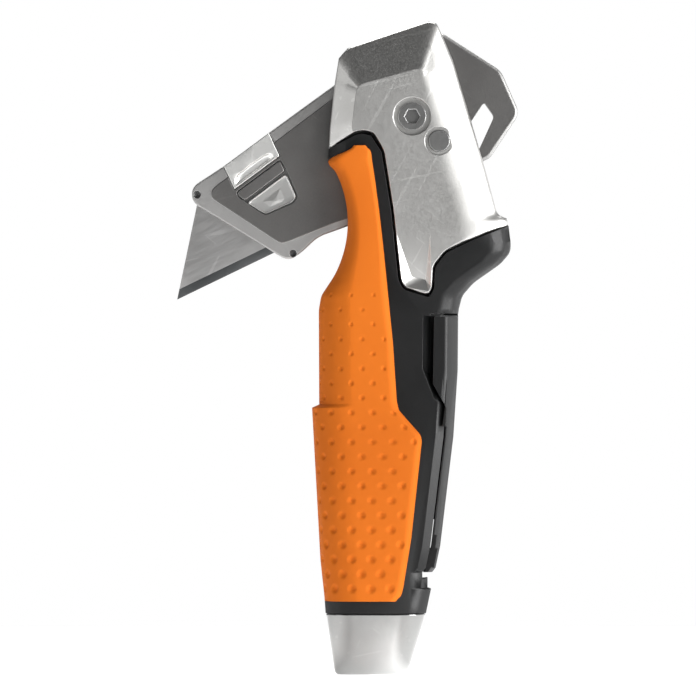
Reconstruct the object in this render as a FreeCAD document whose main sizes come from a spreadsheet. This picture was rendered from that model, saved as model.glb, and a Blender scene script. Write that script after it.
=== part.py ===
import FreeCAD, Part
import math
import os
import Sketcher
from FreeCAD import Placement, Rotation, Vector

# Folding utility knife, standing upright on its metal pommel cap.
#
# Frame: millimetres, +Z up, origin at the centre of the cap's flat bottom face.
# +X points to the back (spine) of the handle, -Y is the front side of the knife.
# Depths called "y" in this file are measured from the mid-plane towards the front
# side, so a front piece has y > 0 here and lies at Y < 0 in the model.

doc = FreeCAD.newDocument("utility_knife")
sheet = doc.addObject("Spreadsheet::Sheet", "Sizes")


# ---------------------------------------------------------------- sizes

class Size:
    """A length or angle that knows its number and the sheet expression behind it."""

    def __init__(self, value, text=None):
        self.value = float(value)
        self.text = text if text is not None else repr(round(float(value), 4))

    def _with(self, other, sign, value):
        return Size(value, f"({self.text} {sign} {other.text})")

    def __add__(self, other):
        other = as_size(other)
        return self._with(other, "+", self.value + other.value)

    def __radd__(self, other):
        return as_size(other) + self

    def __sub__(self, other):
        other = as_size(other)
        return self._with(other, "-", self.value - other.value)

    def __rsub__(self, other):
        return as_size(other) - self

    def __mul__(self, other):
        other = as_size(other)
        return self._with(other, "*", self.value * other.value)

    def __rmul__(self, other):
        return as_size(other) * self

    def __truediv__(self, other):
        other = as_size(other)
        return self._with(other, "/", self.value / other.value)

    def __neg__(self):
        return Size(-self.value, f"(0 - {self.text})")


def as_size(thing):
    """A plain number becomes a Size with no sheet cell behind it."""
    return thing if isinstance(thing, Size) else Size(thing)


def cosine(degrees):
    """Cosine of an angle in degrees."""
    degrees = as_size(degrees)
    return Size(math.cos(math.radians(degrees.value)), f"cos({degrees.text} * 1 deg)")


def sine(degrees):
    """Sine of an angle in degrees."""
    degrees = as_size(degrees)
    return Size(math.sin(math.radians(degrees.value)), f"sin({degrees.text} * 1 deg)")


def tangent(degrees):
    """Tangent of an angle in degrees."""
    degrees = as_size(degrees)
    return Size(math.tan(math.radians(degrees.value)), f"tan({degrees.text} * 1 deg)")


def hypotenuse(across, along):
    """Length of the long side of a right triangle."""
    value = math.hypot(across.value, along.value)
    return Size(value, f"sqrt({across.text} * {across.text} + {along.text} * {along.text})")


rows = 0


def driving(alias, value):
    """One row of the sheet: a named number that can be set by itself."""
    global rows
    rows += 1
    sheet.set(f"A{rows}", alias)
    sheet.set(f"B{rows}", str(value))
    sheet.setAlias(f"B{rows}", alias)
    return Size(value, f"Sizes.{alias}")


# heights, from the bottom of the cap up to the pivot axis
cap_height = driving("cap_height", 15.35)
foot_height = driving("foot_height", 10.25)
door_length = driving("door_length", 63.7)
heel_rise = driving("heel_rise", 49.95)
pivot_x = driving("pivot_x", 10.0)

# half thicknesses, measured from the mid-plane
carrier_half = driving("carrier_half", 3.5)
side_clear = driving("side_clear", 0.3)
liner_thick = driving("liner_thick", 1.2)
edge_half = driving("edge_half", 6.0)
bevel_half = driving("bevel_half", 9.0)
frame_half = driving("frame_half", 10.6)
grip_bevel_half = driving("grip_bevel_half", 10.0)
grip_half = driving("grip_half", 12.2)
rubber_thick = driving("rubber_thick", 1.6)
head_edge_half = driving("head_edge_half", 7.0)
head_half = driving("head_half", 11.0)

# how far the long edges of the handle roll inwards at each depth
edge_roll = driving("edge_roll", 1.8)
face_roll = driving("face_roll", 4.5)
grip_edge_roll = driving("grip_edge_roll", 2.6)
grip_face_roll = driving("grip_face_roll", 7.4)
grip_lip = driving("grip_lip", 1.6)

# blade and carrier
blade_long = driving("blade_long", 61.0)
blade_wide = driving("blade_wide", 19.0)
blade_thick = driving("blade_thick", 0.6)
blade_end_angle = driving("blade_end_angle", 52.4)
blade_tilt = driving("blade_tilt", 25.8)
blade_fit = driving("blade_fit", 0.05)
rivet_r = driving("rivet_r", 0.85)
fold_open = driving("fold_open", 112.0)
fold_closed = driving("fold_closed", 51.0)
release_depth = driving("release_depth", 1.6)
release_travel = driving("release_travel", 0.8)
release_gap = driving("release_gap", 0.15)
cover_depth = driving("cover_depth", 1.2)

# pivot
sleeve_r = driving("sleeve_r", 3.0)
bolt_r = driving("bolt_r", 1.8)
bolt_head_r = driving("bolt_head_r", 3.45)
bolt_recess_r = driving("bolt_recess_r", 4.6)
hex_across = driving("hex_across", 3.5)
run_clear = driving("run_clear", 0.05)
bolt_recess_depth = driving("bolt_recess_depth", 1.8)
bolt_head_depth = driving("bolt_head_depth", 1.3)
bolt_reach = driving("bolt_reach", 2.5)
sleeve_seat = driving("sleeve_seat", 1.5)
washer_r = driving("washer_r", 6.0)

# lock button
lock_radius = driving("lock_radius", 9.1)
lock_angle = driving("lock_angle", -42.6)
button_r = driving("button_r", 2.6)
button_ring_r = driving("button_ring_r", 3.5)
button_travel = driving("button_travel", 1.0)
stem_r = driving("stem_r", 1.6)
stem_clear = driving("stem_clear", 0.35)
collar_r = driving("collar_r", 3.0)
collar_depth = driving("collar_depth", 2.1)
lock_cap_r = driving("lock_cap_r", 3.7)
lock_cap_depth = driving("lock_cap_depth", 1.6)
lock_cap_sink = driving("lock_cap_sink", 0.2)
button_proud = driving("button_proud", 0.4)
button_ring_depth = driving("button_ring_depth", 0.6)
spring_wire_r = driving("spring_wire_r", 0.25)

# storage door
hinge_x = driving("hinge_x", 12.6)
hinge_rise = driving("hinge_rise", 3.0)
hinge_pin_r = driving("hinge_pin_r", 1.0)
knuckle_r = driving("knuckle_r", 2.4)
knuckle_clear = driving("knuckle_clear", 0.3)
door_skin = driving("door_skin", 2.2)
door_gap = driving("door_gap", 0.3)
wing_clear = driving("wing_clear", 0.3)
knuckle_half = driving("knuckle_half", 7.9)
knuckle_room_r = driving("knuckle_room_r", 4.6)
pin_bearing = driving("pin_bearing", 0.4)
tray_floor = driving("tray_floor", 0.8)
tray_gap = driving("tray_gap", 0.2)
tray_tilt = driving("tray_tilt", 6.4)
tray_back_clear = driving("tray_back_clear", 0.4)
swing_room = driving("swing_room", 0.7)

# screws and the pin that holds the cap
screw_r = driving("screw_r", 1.5)
screw_head_r = driving("screw_head_r", 2.2)
screw_head_depth = driving("screw_head_depth", 1.5)
screw_sink = driving("screw_sink", 0.7)
thread_cover = driving("thread_cover", 2.0)
tip_cover = driving("tip_cover", 2.4)
stub_r = driving("stub_r", 7.5)
stub_depth = driving("stub_depth", 7.35)
stub_x = driving("stub_x", 0.9)
cap_pin_r = driving("cap_pin_r", 1.5)

# worked out from the rows above
door_low = cap_height + foot_height
door_high = door_low + door_length
pivot_z = door_high + heel_rise
slot_half = carrier_half + side_clear
liner_half = slot_half + liner_thick
hinge_z = door_low + hinge_rise
blade_half = blade_thick / 2
pocket_half = blade_half + blade_fit
spare_count = 4
tray_back = liner_half + tray_gap + tray_floor + blade_thick * spare_count
door_inner_half = tray_back + wing_clear
pin_half = tray_back + tray_back_clear + pin_bearing
BEYOND = 30.0      # reaches past every surface of the knife


# ---------------------------------------------------------------- drawing points
#
# The outlines were drawn with the pivot at (10.0, 139.25), the cap's top at 15.35 and
# the door from 25.6 to 89.3. Each point is tied to the level that it belongs to.

DRAWN_PIVOT = (10.0, 139.25)
DRAWN_CAP_TOP = 15.35
DRAWN_DOOR_LOW = 25.6
DRAWN_DOOR_HIGH = 89.3


def head_point(x, z):
    """A point that keeps its place beside the pivot."""
    return (pivot_x + (x - DRAWN_PIVOT[0]), pivot_z + (z - DRAWN_PIVOT[1]))


def cap_point(x, z):
    """A point that keeps its height above the cap."""
    return (Size(x), cap_height + (z - DRAWN_CAP_TOP))


def hinge_point(x, z):
    """A point that keeps its height above the door's lower end."""
    return (Size(x), door_low + (z - DRAWN_DOOR_LOW))


def door_point(x, z):
    """A point that keeps its height below the door's upper end."""
    return (Size(x), door_high + (z - DRAWN_DOOR_HIGH))


def polar_point(radius, degrees):
    """A point on a circle round the pivot."""
    return (pivot_x + radius * cosine(degrees), pivot_z + radius * sine(degrees))


def moved(point, along_x, along_z=0.0):
    """The same point, shifted."""
    return (point[0] + along_x, point[1] + along_z)


# ---------------------------------------------------------------- building blocks

def origin_plane(body, role):
    """The body's own origin plane with the given role."""
    return [item for item in body.Origin.OriginFeatures if item.Role == role][0]


def outline_sketch(body, name, role, offset, points, arcs=None):
    """A closed sketch through points. arcs gives a radius for the side that starts at
    a point: positive bulges outwards on an outline that runs anticlockwise."""
    arcs = arcs or {}
    sketch = body.newObject("Sketcher::SketchObject", name)
    sketch.AttachmentSupport = [(origin_plane(body, role), "")]
    sketch.MapMode = "FlatFace"
    sketch.setExpression("AttachmentOffset.Base.z", offset.text)
    count = len(points)
    corners = [Vector(x.value, z.value, 0) for x, z in points]
    sides = []
    for index, start in enumerate(corners):
        end = corners[(index + 1) % count]
        radius = arcs.get(index)
        if radius is None:
            sides.append(Part.LineSegment(start, end))
            continue
        chord = end - start
        left = Vector(-chord.y, chord.x, 0).normalize()
        rise = math.sqrt(radius * radius - chord.Length ** 2 / 4)
        centre = (start + end) * 0.5 + left * (rise if radius > 0 else -rise)
        first, last = (start, end) if radius > 0 else (end, start)
        begin = math.atan2(first.y - centre.y, first.x - centre.x)
        finish = math.atan2(last.y - centre.y, last.x - centre.x)
        circle = Part.Circle(centre, Vector(0, 0, 1), abs(radius))
        sides.append(Part.ArcOfCircle(circle, begin, finish))
    sketch.addGeometry(sides)

    def corner(index, at_start):
        backwards = arcs.get(index, 1) < 0
        return (index, 1 if at_start != backwards else 2)

    for index in range(count):
        following = (index + 1) % count
        joined = Sketcher.Constraint("Coincident", *corner(index, False), *corner(following, True))
        sketch.addConstraint(joined)
    for index, (x, z) in enumerate(points):
        for kind, size in (("DistanceX", x), ("DistanceY", z)):
            fixed = Sketcher.Constraint(kind, -1, 1, *corner(index, True), size.value)
            row = sketch.addConstraint(fixed)
            if "Sizes" in size.text:
                sketch.setExpression(f"Constraints[{row}]", size.text)
        if index in arcs:
            sketch.addConstraint(Sketcher.Constraint("Radius", index, abs(arcs[index])))
    return sketch


def prism(name, points, y_from, y_to, arcs=None):
    """A flat plate: an outline in the XZ plane, padded from one depth to another."""
    y_from, y_to = as_size(y_from), as_size(y_to)
    body = doc.addObject("PartDesign::Body", name)
    sketch = outline_sketch(body, name + "_outline", "XZ_Plane", y_from, points, arcs)
    pad = body.newObject("PartDesign::Pad", name + "_pad")
    pad.Profile = sketch
    pad.setExpression("Length", (y_to - y_from).text)
    return body


def layered(name, layers, role="XZ_Plane", arcs=None):
    """A plate whose outline changes with depth: straight walls from layer to layer."""
    body = doc.addObject("PartDesign::Body", name)
    sketches = []
    for number, (depth, points) in enumerate(layers):
        sketch_name = f"{name}_layer_{number}"
        sketches.append(outline_sketch(body, sketch_name, role, as_size(depth), points, arcs))
    loft = body.newObject("PartDesign::AdditiveLoft", name + "_loft")
    loft.Profile = sketches[0]
    loft.Sections = sketches[1:]
    loft.Ruled = True
    return body


def placed(thing, x, depth, z):
    """Binds an object's place. depth is measured towards the front."""
    thing.setExpression("Placement.Base.x", as_size(x).text)
    thing.setExpression("Placement.Base.y", (-as_size(depth)).text)
    thing.setExpression("Placement.Base.z", as_size(z).text)
    return thing


def rod(name, x, z, radius, y_from, y_to):
    """A cylinder along the thickness of the knife."""
    cylinder = doc.addObject("Part::Cylinder", name)
    cylinder.Placement = Placement(Vector(0, 0, 0), Rotation(Vector(1, 0, 0), 90))
    cylinder.setExpression("Radius", as_size(radius).text)
    cylinder.setExpression("Height", (as_size(y_to) - as_size(y_from)).text)
    return placed(cylinder, x, y_from, z)


def post(name, x, radius, z_from, z_to):
    """A cylinder that stands upright on the mid-plane."""
    cylinder = doc.addObject("Part::Cylinder", name)
    cylinder.setExpression("Radius", as_size(radius).text)
    cylinder.setExpression("Height", (as_size(z_to) - as_size(z_from)).text)
    return placed(cylinder, x, 0.0, z_from)


def fused(name, pieces):
    """One solid out of several."""
    union = doc.addObject("Part::MultiFuse", name)
    union.Shapes = pieces
    union.Refine = True
    return union


def cut(name, base, tools):
    """The base with every tool taken away."""
    tool = tools[0] if len(tools) == 1 else fused(name + "_tools", tools)
    result = doc.addObject("Part::Cut", name)
    result.Base = base
    result.Tool = tool
    return result


def common(name, first, second):
    """Where two solids overlap."""
    result = doc.addObject("Part::Common", name)
    result.Base = first
    result.Tool = second
    return result


def mirrored(name, source):
    """The same piece on the rear side."""
    mirror = doc.addObject("Part::Mirroring", name)
    mirror.Source = source
    mirror.Normal = Vector(0, 1, 0)
    return mirror


nodes = []


def node(name, piece):
    """Marks a finished piece, to be written under its own name."""
    piece.Label = name
    nodes.append((name, piece))


# ---------------------------------------------------------------- outlines

def blade_outline(tip, degrees, grow=0.0):
    """Trapezoid blade: the cutting edge runs from the tip at the given angle, the body
    lies on its left. grow widens it all round for a pocket."""
    grow = as_size(grow)
    ux, uz = cosine(degrees), sine(degrees)
    slope = blade_wide / tangent(blade_end_angle)

    def at(along, across):
        return (tip[0] + along * ux - across * uz, tip[1] + along * uz + across * ux)

    return [
        at(-grow * 2, -grow),
        at(blade_long + grow * 2, -grow),
        at(blade_long - slope + grow * 2, blade_wide + grow),
        at(slope - grow * 2, blade_wide + grow),
    ]


# x, z and how far the point moves, in x and in z, on the way to the flat face of the head
HEAD = [
    (-10.8, 131.15, 4.2, 2.6), (-4.1, 134.6, 0.2, 1.0), (-2.4, 134.9, 0.3, 1.0), (-0.25, 134.35, 0.7, 1.0),
    (2.3, 130.4, 0.8, 0.3), (4.7, 116.0, 0.7, 0.1), (6.5, 98.5, 0.8, 0.2), (7.7, 96.1, 0.5, 0.7),
    (14.1, 94.1, -0.3, 0.8), (15.5, 96.1, -0.7, 0.4), (15.7, 101.7, -0.7, 0.3), (18.5, 105.25, -0.4, 0.6),
    (25.25, 108.5, -0.3, 0.7), (34.05, 112.0, -6.2, -1.6), (33.65, 113.8, -6.2, -1.2),
    (31.25, 114.8, -5.0, -0.8), (28.25, 126.0, -5.5, -1.2), (24.75, 138.0, -5.5, -1.5),
    (20.1, 153.5, -4.9, -6.0), (16.2, 162.4, -3.2, -11.2), (14.15, 163.0, -2.2, -11.6),
    (-6.15, 156.25, 3.9, -8.8), (-8.3, 153.8, 5.2, -6.9), (-9.35, 147.25, 5.3, -1.6), (-10.6, 136.0, 5.2, 0.0),
]
head_edge = [head_point(x, z) for x, z, _, _ in HEAD]
head_face = [head_point(x + dx, z + dz) for x, z, dx, dz in HEAD]

# the sweep of the carrier, with room: open to the front, the top and the back
tip_point = head_point(-48.7, 93.6)
tip_reach = hypotenuse(tip_point[0] - pivot_x, tip_point[1] - pivot_z)
floor_reach = tip_reach + 0.65
floor_front = polar_point(floor_reach, -108.5)
floor_back = polar_point(floor_reach, -90.2)
channel = [
    floor_front, floor_back,
    head_point(15.9, 90.9), head_point(18.6, 91.4), head_point(21.0, 92.9), head_point(21.0, 96.5),
    head_point(20.3, 98.4), head_point(20.9, 104.5), head_point(23.4, 112.5), head_point(25.4, 116.0),
    head_point(30.2, 119.9), head_point(60.0, 121.0), head_point(60.0, 185.0), head_point(-60.0, 185.0),
    (head_point(-60.0, 0.0)[0], floor_front[1]),
]
channel_arcs = {0: floor_reach.value}

# orange grip: tie, x, z, how much of the front roll and of the back lip a point takes.
# The roll fades towards the narrow top of the grip.
GRIP = [
    (cap_point, -11.8, 18.35, 1.0, 0), (cap_point, 5.9, 18.35, 0, 1), (cap_point, 7.8, 19.8, 0, 1),
    (cap_point, 8.3, 21.6, 0, 1), (cap_point, 10.3, 34.0, 0, 1), (head_point, 12.95, 58.4, 0, 1),
    (head_point, 12.6, 59.9, 0, 1), (head_point, 7.2, 66.0, 0, 1), (head_point, 6.7, 68.2, 0, 1),
    (head_point, 5.75, 82.55, 0, 1), (head_point, 4.15, 98.5, 0, 1), (head_point, 2.05, 116.0, 0, 1),
    (head_point, 0.4, 127.8, 0, 1), (head_point, -1.0, 131.3, 0, 1), (head_point, -2.8, 132.1, 0, 0),
    (head_point, -4.1, 131.8, 0, 0), (head_point, -11.0, 128.7, 0.35, 0), (head_point, -11.0, 127.3, 0.35, 0),
    (head_point, -9.3, 125.9, 0.35, 0), (head_point, -9.65, 99.15, 0.6, 0), (head_point, -12.7, 94.55, 0.9, 0),
    (head_point, -13.3, 91.0, 1.0, 0), (head_point, -13.2, 67.4, 1.0, 0), (head_point, -15.0, 66.6, 1.0, 0),
    (cap_point, -12.9, 28.5, 1.0, 0),
]
TOP_CORNER = 16            # this point slides along the grip's top edge as it rolls in
TOP_SLOPE = 3.1 / 6.9      # slope of that edge
GROOVE_SIDE = 18           # the side of the grip that is the finger groove
GROOVE_R = 28.0
grip_arcs = {GROOVE_SIDE: -GROOVE_R}


def grip_outline(inset, roll, lip):
    """The grip's outline: front edge set in and rolled, back edge lipped."""
    points = []
    for index, (tie, x, z, front_share, back_share) in enumerate(GRIP):
        point = tie(x, z)
        if front_share:
            shift = as_size(inset) + as_size(roll) * front_share
            rise = shift * TOP_SLOPE if index == TOP_CORNER else 0.0
            point = moved(point, shift, rise)
        elif back_share:
            point = moved(point, -as_size(lip))
        points.append(point)
    return points


# black plastic: B rolls in at the back, F at the front, N stays, and H, G and K slide
# along the edges that they end on, which have these slopes
EDGE_SLOPES = {"H": (-1, -3.5 / 8.8), "G": (1, 3.45 / 6.7), "K": (1, TOP_SLOPE)}
FRAME = [
    ("F", cap_point, -11.6, 15.35), ("B", cap_point, 13.45, 15.35), ("B", cap_point, 14.7, 21.35),
    ("B", cap_point, 13.85, 21.6), ("B", hinge_point, 13.85, 25.6), ("B", hinge_point, 15.0, 25.6),
    ("B", hinge_point, 15.85, 26.7), ("B", hinge_point, 17.0, 32.1), ("B", hinge_point, 20.3, 59.5),
    ("B", door_point, 21.4, 76.3), ("B", door_point, 21.5, 89.9), ("B", door_point, 21.7, 91.3),
    ("B", head_point, 22.5, 94.5), ("B", head_point, 25.3, 97.7), ("B", head_point, 32.05, 102.45),
    ("B", head_point, 34.45, 105.25), ("B", head_point, 34.65, 107.25), ("H", head_point, 34.05, 112.0),
    ("N", head_point, 25.25, 108.5), ("N", head_point, 18.5, 105.25), ("N", head_point, 15.7, 101.7),
    ("N", head_point, 15.5, 96.1), ("N", head_point, 14.1, 94.1), ("N", head_point, 7.7, 96.1),
    ("N", head_point, 6.5, 98.5), ("N", head_point, 4.7, 116.0), ("N", head_point, 2.3, 130.4),
    ("N", head_point, -0.25, 134.35), ("N", head_point, -2.4, 134.9), ("N", head_point, -4.1, 134.6),
    ("G", head_point, -10.8, 131.15), ("K", head_point, -11.0, 128.7), ("N", head_point, -4.1, 131.8),
    ("N", head_point, -2.8, 132.1), ("N", head_point, -1.0, 131.3), ("N", head_point, 0.4, 127.8),
    ("N", head_point, 2.05, 116.0), ("N", head_point, 4.15, 98.5), ("N", head_point, 5.75, 82.55),
    ("N", head_point, 6.7, 68.2), ("N", head_point, 7.2, 66.0), ("N", head_point, 12.6, 59.9),
    ("N", head_point, 12.95, 58.4), ("N", cap_point, 10.3, 34.0), ("N", cap_point, 8.3, 21.6),
    ("N", cap_point, 7.8, 19.8), ("N", cap_point, 5.9, 18.35), ("F", cap_point, -11.8, 18.35),
]


def frame_outline(roll):
    """The black plastic's outline with its free edges rolled in."""
    roll = as_size(roll)
    points = []
    for side, tie, x, z in FRAME:
        point = tie(x, z)
        if side == "B":
            point = moved(point, -roll)
        elif side == "F":
            point = moved(point, roll)
        elif side in EDGE_SLOPES:
            along, slope = EDGE_SLOPES[side]
            point = moved(point, roll * along, roll * slope)
        points.append(point)
    return points


# storage door, seen from the side: inner seam first, then the outer edge
DOOR_OUTER = [
    (hinge_point, 15.0, 25.6), (hinge_point, 15.85, 26.7), (hinge_point, 17.0, 32.1),
    (hinge_point, 20.3, 59.5), (door_point, 21.4, 76.3), (door_point, 21.5, 89.3),
]


def door_outer(roll=0.0):
    """The door's outer edge, upwards, rolled in."""
    return [moved(tie(x, z), -as_size(roll)) for tie, x, z in DOOR_OUTER]


def door_strip(inset, roll=0.0):
    """The door's outline where it is only a strip of the given width."""
    inner = [moved(tie(x, z), -as_size(inset)) for tie, x, z in DOOR_OUTER]
    return door_outer(roll) + inner[::-1]


def door_wing(roll, spread):
    """The wide upper part of the door, spread by a gap on its inner sides."""
    spread = as_size(spread)
    inner = [
        moved(door_point(15.45, 89.3), -spread), moved(door_point(15.15, 72.65), -spread),
        moved(door_point(18.5, 66.5), -spread), moved(door_point(18.3, 62.0), -spread),
    ]
    outer = [
        moved(door_point(20.4, 62.0), -as_size(roll)), moved(door_point(21.4, 76.3), -as_size(roll)),
        moved(door_point(21.5, 89.3), -as_size(roll)),
    ]
    return outer + inner


# ---------------------------------------------------------------- shared cutters

def channel_cut(name, y_from, y_to):
    """The space that the folding carrier sweeps."""
    return prism(name, channel, y_from, y_to, channel_arcs)


LINER = [
    (-11.0, 69.5), (-9.0, 64.0), (11.0, 62.6), (17.2, 89.4), (21.6, 92.4), (21.7, 97.2),
    (24.3, 104.6), (25.25, 108.5), (34.05, 112.0), (33.65, 113.8), (31.25, 114.8), (28.25, 126.0),
    (24.75, 138.0), (20.1, 153.5), (16.2, 162.4), (14.15, 163.0), (-6.15, 156.25), (-8.3, 153.8),
    (-9.35, 147.25), (-10.6, 136.0), (-10.8, 131.15), (-7.2, 126.4), (-4.2, 120.0), (-3.6, 111.5),
    (-4.6, 105.0), (-6.9, 100.0), (-10.2, 95.0), (-11.0, 91.0),
]
liner_outline = [head_point(x, z) for x, z in LINER]
heel_screw_at = head_point(26.2, 111.8)
lower_screw_at = cap_point(10.9, 21.2)
lock_at = polar_point(lock_radius, lock_angle)
nose_at = head_point(-43.7, 119.8)
lower_rivet_at = head_point(-19.7, 105.1)


# ---------------------------------------------------------------- liners

def liner(name, lock_bore):
    """Steel plate beside the blade channel, built on the front side."""
    plate = prism(name + "_plate", liner_outline, slot_half, liner_half)
    holes = [
        rod(name + "_pivot_hole", pivot_x, pivot_z, sleeve_r, 0, BEYOND),
        rod(name + "_lock_hole", *lock_at, lock_bore, 0, BEYOND),
        rod(name + "_screw_hole", *heel_screw_at, screw_r, 0, BEYOND),
    ]
    return cut(name, plate, holes)


node("liner_front", liner("front_liner", button_r + run_clear))
node("liner_rear", mirrored("rear_liner", liner("rear_liner_drawn", collar_r + run_clear)))


# ---------------------------------------------------------------- head plates

recess_floor = head_half - bolt_recess_depth
sleeve_tip = liner_half + sleeve_seat
lid_seat = head_half - lock_cap_depth - lock_cap_sink
heel_head_from = head_half - screw_head_depth - screw_sink


def head_blank(name):
    """One metal cheek of the head: straight edge, then facets up to the flat face."""
    straight = [(liner_half, head_edge), (head_edge_half, head_edge), (head_half, head_face)]
    return layered(name, straight)


front_cheek_holes = [
    rod("front_sleeve_seat", pivot_x, pivot_z, sleeve_r, 0, sleeve_tip),
    rod("front_bolt_hole", pivot_x, pivot_z, bolt_r, 0, BEYOND),
    rod("front_bolt_recess", pivot_x, pivot_z, bolt_recess_r, recess_floor, BEYOND),
    rod("front_button_bore", *lock_at, button_r + run_clear, 0, BEYOND),
    rod("front_button_ring", *lock_at, button_ring_r, head_half - button_ring_depth, BEYOND),
    rod("front_heel_thread", *heel_screw_at, screw_r, 0, head_half - thread_cover),
]
node("head_plate_front", cut("front_cheek", head_blank("front_cheek_blank"), front_cheek_holes))

flange_r = bolt_recess_r - 0.1
rear_cheek_holes = [
    rod("rear_sleeve_seat", pivot_x, pivot_z, sleeve_r, 0, BEYOND),
    rod("rear_flange_seat", pivot_x, pivot_z, flange_r, recess_floor, BEYOND),
    rod("rear_collar_bore", *lock_at, collar_r + run_clear, 0, lid_seat),
    rod("rear_lock_cap_seat", *lock_at, lock_cap_r, lid_seat, BEYOND),
    rod("rear_heel_hole", *heel_screw_at, screw_r, 0, BEYOND),
    rod("rear_heel_head", *heel_screw_at, screw_head_r, heel_head_from, BEYOND),
]
rear_cheek = cut("rear_cheek_drawn", head_blank("rear_cheek_blank"), rear_cheek_holes)
node("head_plate_rear", mirrored("rear_cheek", rear_cheek))


# ---------------------------------------------------------------- handle frame and grips

def core(name):
    """The part of the black frame that lies under the rubber."""
    lip = rubber_thick
    layers = [
        (Size(0), grip_outline(lip, 0.0, 0.0)),
        (edge_half - lip, grip_outline(lip, 0.0, 0.0)),
        (grip_bevel_half - lip, grip_outline(lip, grip_edge_roll, 0.0)),
        (grip_half - lip, grip_outline(lip, grip_face_roll, 0.0)),
    ]
    return layered(name, layers, arcs=grip_arcs)


def grip_blank(name):
    """The outer shape of the rubber on one side."""
    layers = [
        (Size(0), grip_outline(0.0, 0.0, 0.0)),
        (edge_half, grip_outline(0.0, 0.0, 0.0)),
        (grip_bevel_half, grip_outline(0.0, grip_edge_roll, 0.0)),
        (grip_half, grip_outline(0.0, grip_face_roll, grip_lip)),
    ]
    return layered(name, layers, arcs=grip_arcs)


def shell(name):
    """The black plastic that shows: band, heel, back and foot."""
    layers = [
        (Size(0), frame_outline(0.0)),
        (edge_half, frame_outline(0.0)),
        (bevel_half, frame_outline(edge_roll)),
        (frame_half, frame_outline(face_roll)),
    ]
    return layered(name, layers)


def foot_stub(name):
    """Half of the round stub that plugs into the cap."""
    round_stub = post(name + "_round", stub_x, stub_r, cap_height - stub_depth, cap_height)
    front_half = doc.addObject("Part::Box", name + "_half")
    front_half.setExpression("Length", (stub_r * 4).text)
    front_half.setExpression("Width", (stub_r * 2).text)
    front_half.setExpression("Height", (stub_depth * 3).text)
    placed(front_half, -stub_r * 2, stub_r * 2, cap_height - stub_depth * 2)
    return common(name, round_stub, front_half)


PIN_END_GAP = 0.1          # free space past each end of the hinge pin
CAP_PIN_BITE = 1.2         # how far the cap pin goes into the wall past the stub
CAP_PIN_SUNK = 1.2         # how far its head stays below the rear surface
cap_pin_at = (stub_x, cap_height - stub_depth / 2)
cap_pin_tip = stub_r + CAP_PIN_BITE


def frame_cutters(name):
    """Everything that is taken out of both frame halves, drawn on the front side."""
    return [
        channel_cut(name + "_channel", -1, slot_half),
        prism(name + "_liner_seat", liner_outline, slot_half, liner_half),
        prism(name + "_door_seat", door_strip(door_skin + door_gap, -BEYOND), -1, BEYOND),
        prism(name + "_wing_seat", door_wing(-BEYOND, door_gap), door_inner_half - door_gap, BEYOND),
        rod(name + "_knuckle_room", hinge_x, hinge_z, knuckle_room_r, -1, knuckle_half + door_gap),
        rod(name + "_pin_hole", hinge_x, hinge_z, hinge_pin_r, -1, pin_half + PIN_END_GAP),
        rod(name + "_cap_pin_hole", *cap_pin_at, cap_pin_r, -1, BEYOND),
        rod(name + "_heel_screw_hole", *heel_screw_at, screw_r, -1, BEYOND),
    ]


def frame_blank(name):
    """Shell, core, the heel block between the head plates, and the foot stub."""
    heel_block = prism(name + "_heel_block", head_edge, 0, slot_half)
    pieces = [shell(name + "_shell"), core(name + "_core"), heel_block, foot_stub(name + "_stub")]
    return fused(name, pieces)


front_cutters = frame_cutters("front_frame")
front_cutters.append(rod("front_lower_thread", *lower_screw_at, screw_r, -1, frame_half - thread_cover))
node("frame_front", cut("front_frame", frame_blank("front_frame_blank"), front_cutters))


TRAY_AHEAD = 12.9          # the tray's far corner, in front of the hinge
TRAY_DROP = 2.4            # how much of a spare blade's length lies below that corner's rise
CORNER_ROOM = 0.9          # free space round that corner


def tray_room():
    """Where the tray of spare blades sits and swings, drawn on the front side."""
    rise = blade_long - TRAY_DROP
    reach = hypotenuse(as_size(TRAY_AHEAD), rise) + swing_room
    corner = (hinge_x - TRAY_AHEAD - CORNER_ROOM, hinge_z + rise + CORNER_ROOM)
    points = [
        hinge_point(-8.2, 24.9), hinge_point(BEYOND, 24.9), (Size(BEYOND), hinge_z + reach),
        (hinge_x, hinge_z + reach), corner, hinge_point(-8.2, 27.0),
    ]
    return prism("tray_room", points, liner_half, tray_back + tray_back_clear)


rear_cutters = frame_cutters("rear_frame")
rear_cutters.append(tray_room())
rear_cutters.append(rod("rear_lower_hole", *lower_screw_at, screw_r, -1, BEYOND))
lower_head_from = bevel_half - screw_head_depth
rear_cutters.append(rod("rear_lower_head", *lower_screw_at, screw_head_r, lower_head_from, BEYOND))
rear_frame = cut("rear_frame_drawn", frame_blank("rear_frame_blank"), rear_cutters)
node("frame_rear", mirrored("rear_frame", rear_frame))


def grip(name):
    """Soft rubber over the core, open where the carrier folds in."""
    tools = [core(name + "_core"), channel_cut(name + "_channel", -1, slot_half)]
    return cut(name, grip_blank(name + "_blank"), tools)


node("grip_front", grip("front_grip"))
node("grip_rear", mirrored("rear_grip", grip("rear_grip_drawn")))


# ---------------------------------------------------------------- cap and its fastening

def oval(left, right, half_depth, roll_x, roll_y):
    """Twelve-sided oval in the XY plane."""
    left, right, half_depth = as_size(left), as_size(right), as_size(half_depth)
    lower = [
        (left, -half_depth * roll_y[0]), (left + roll_x[0], -half_depth * roll_y[1]),
        (left + roll_x[1], -half_depth), (right - roll_x[1], -half_depth),
        (right - roll_x[0], -half_depth * roll_y[1]), (right, -half_depth * roll_y[0]),
    ]
    upper = [(x, -depth) for x, depth in lower[::-1]]
    return lower + upper


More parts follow.
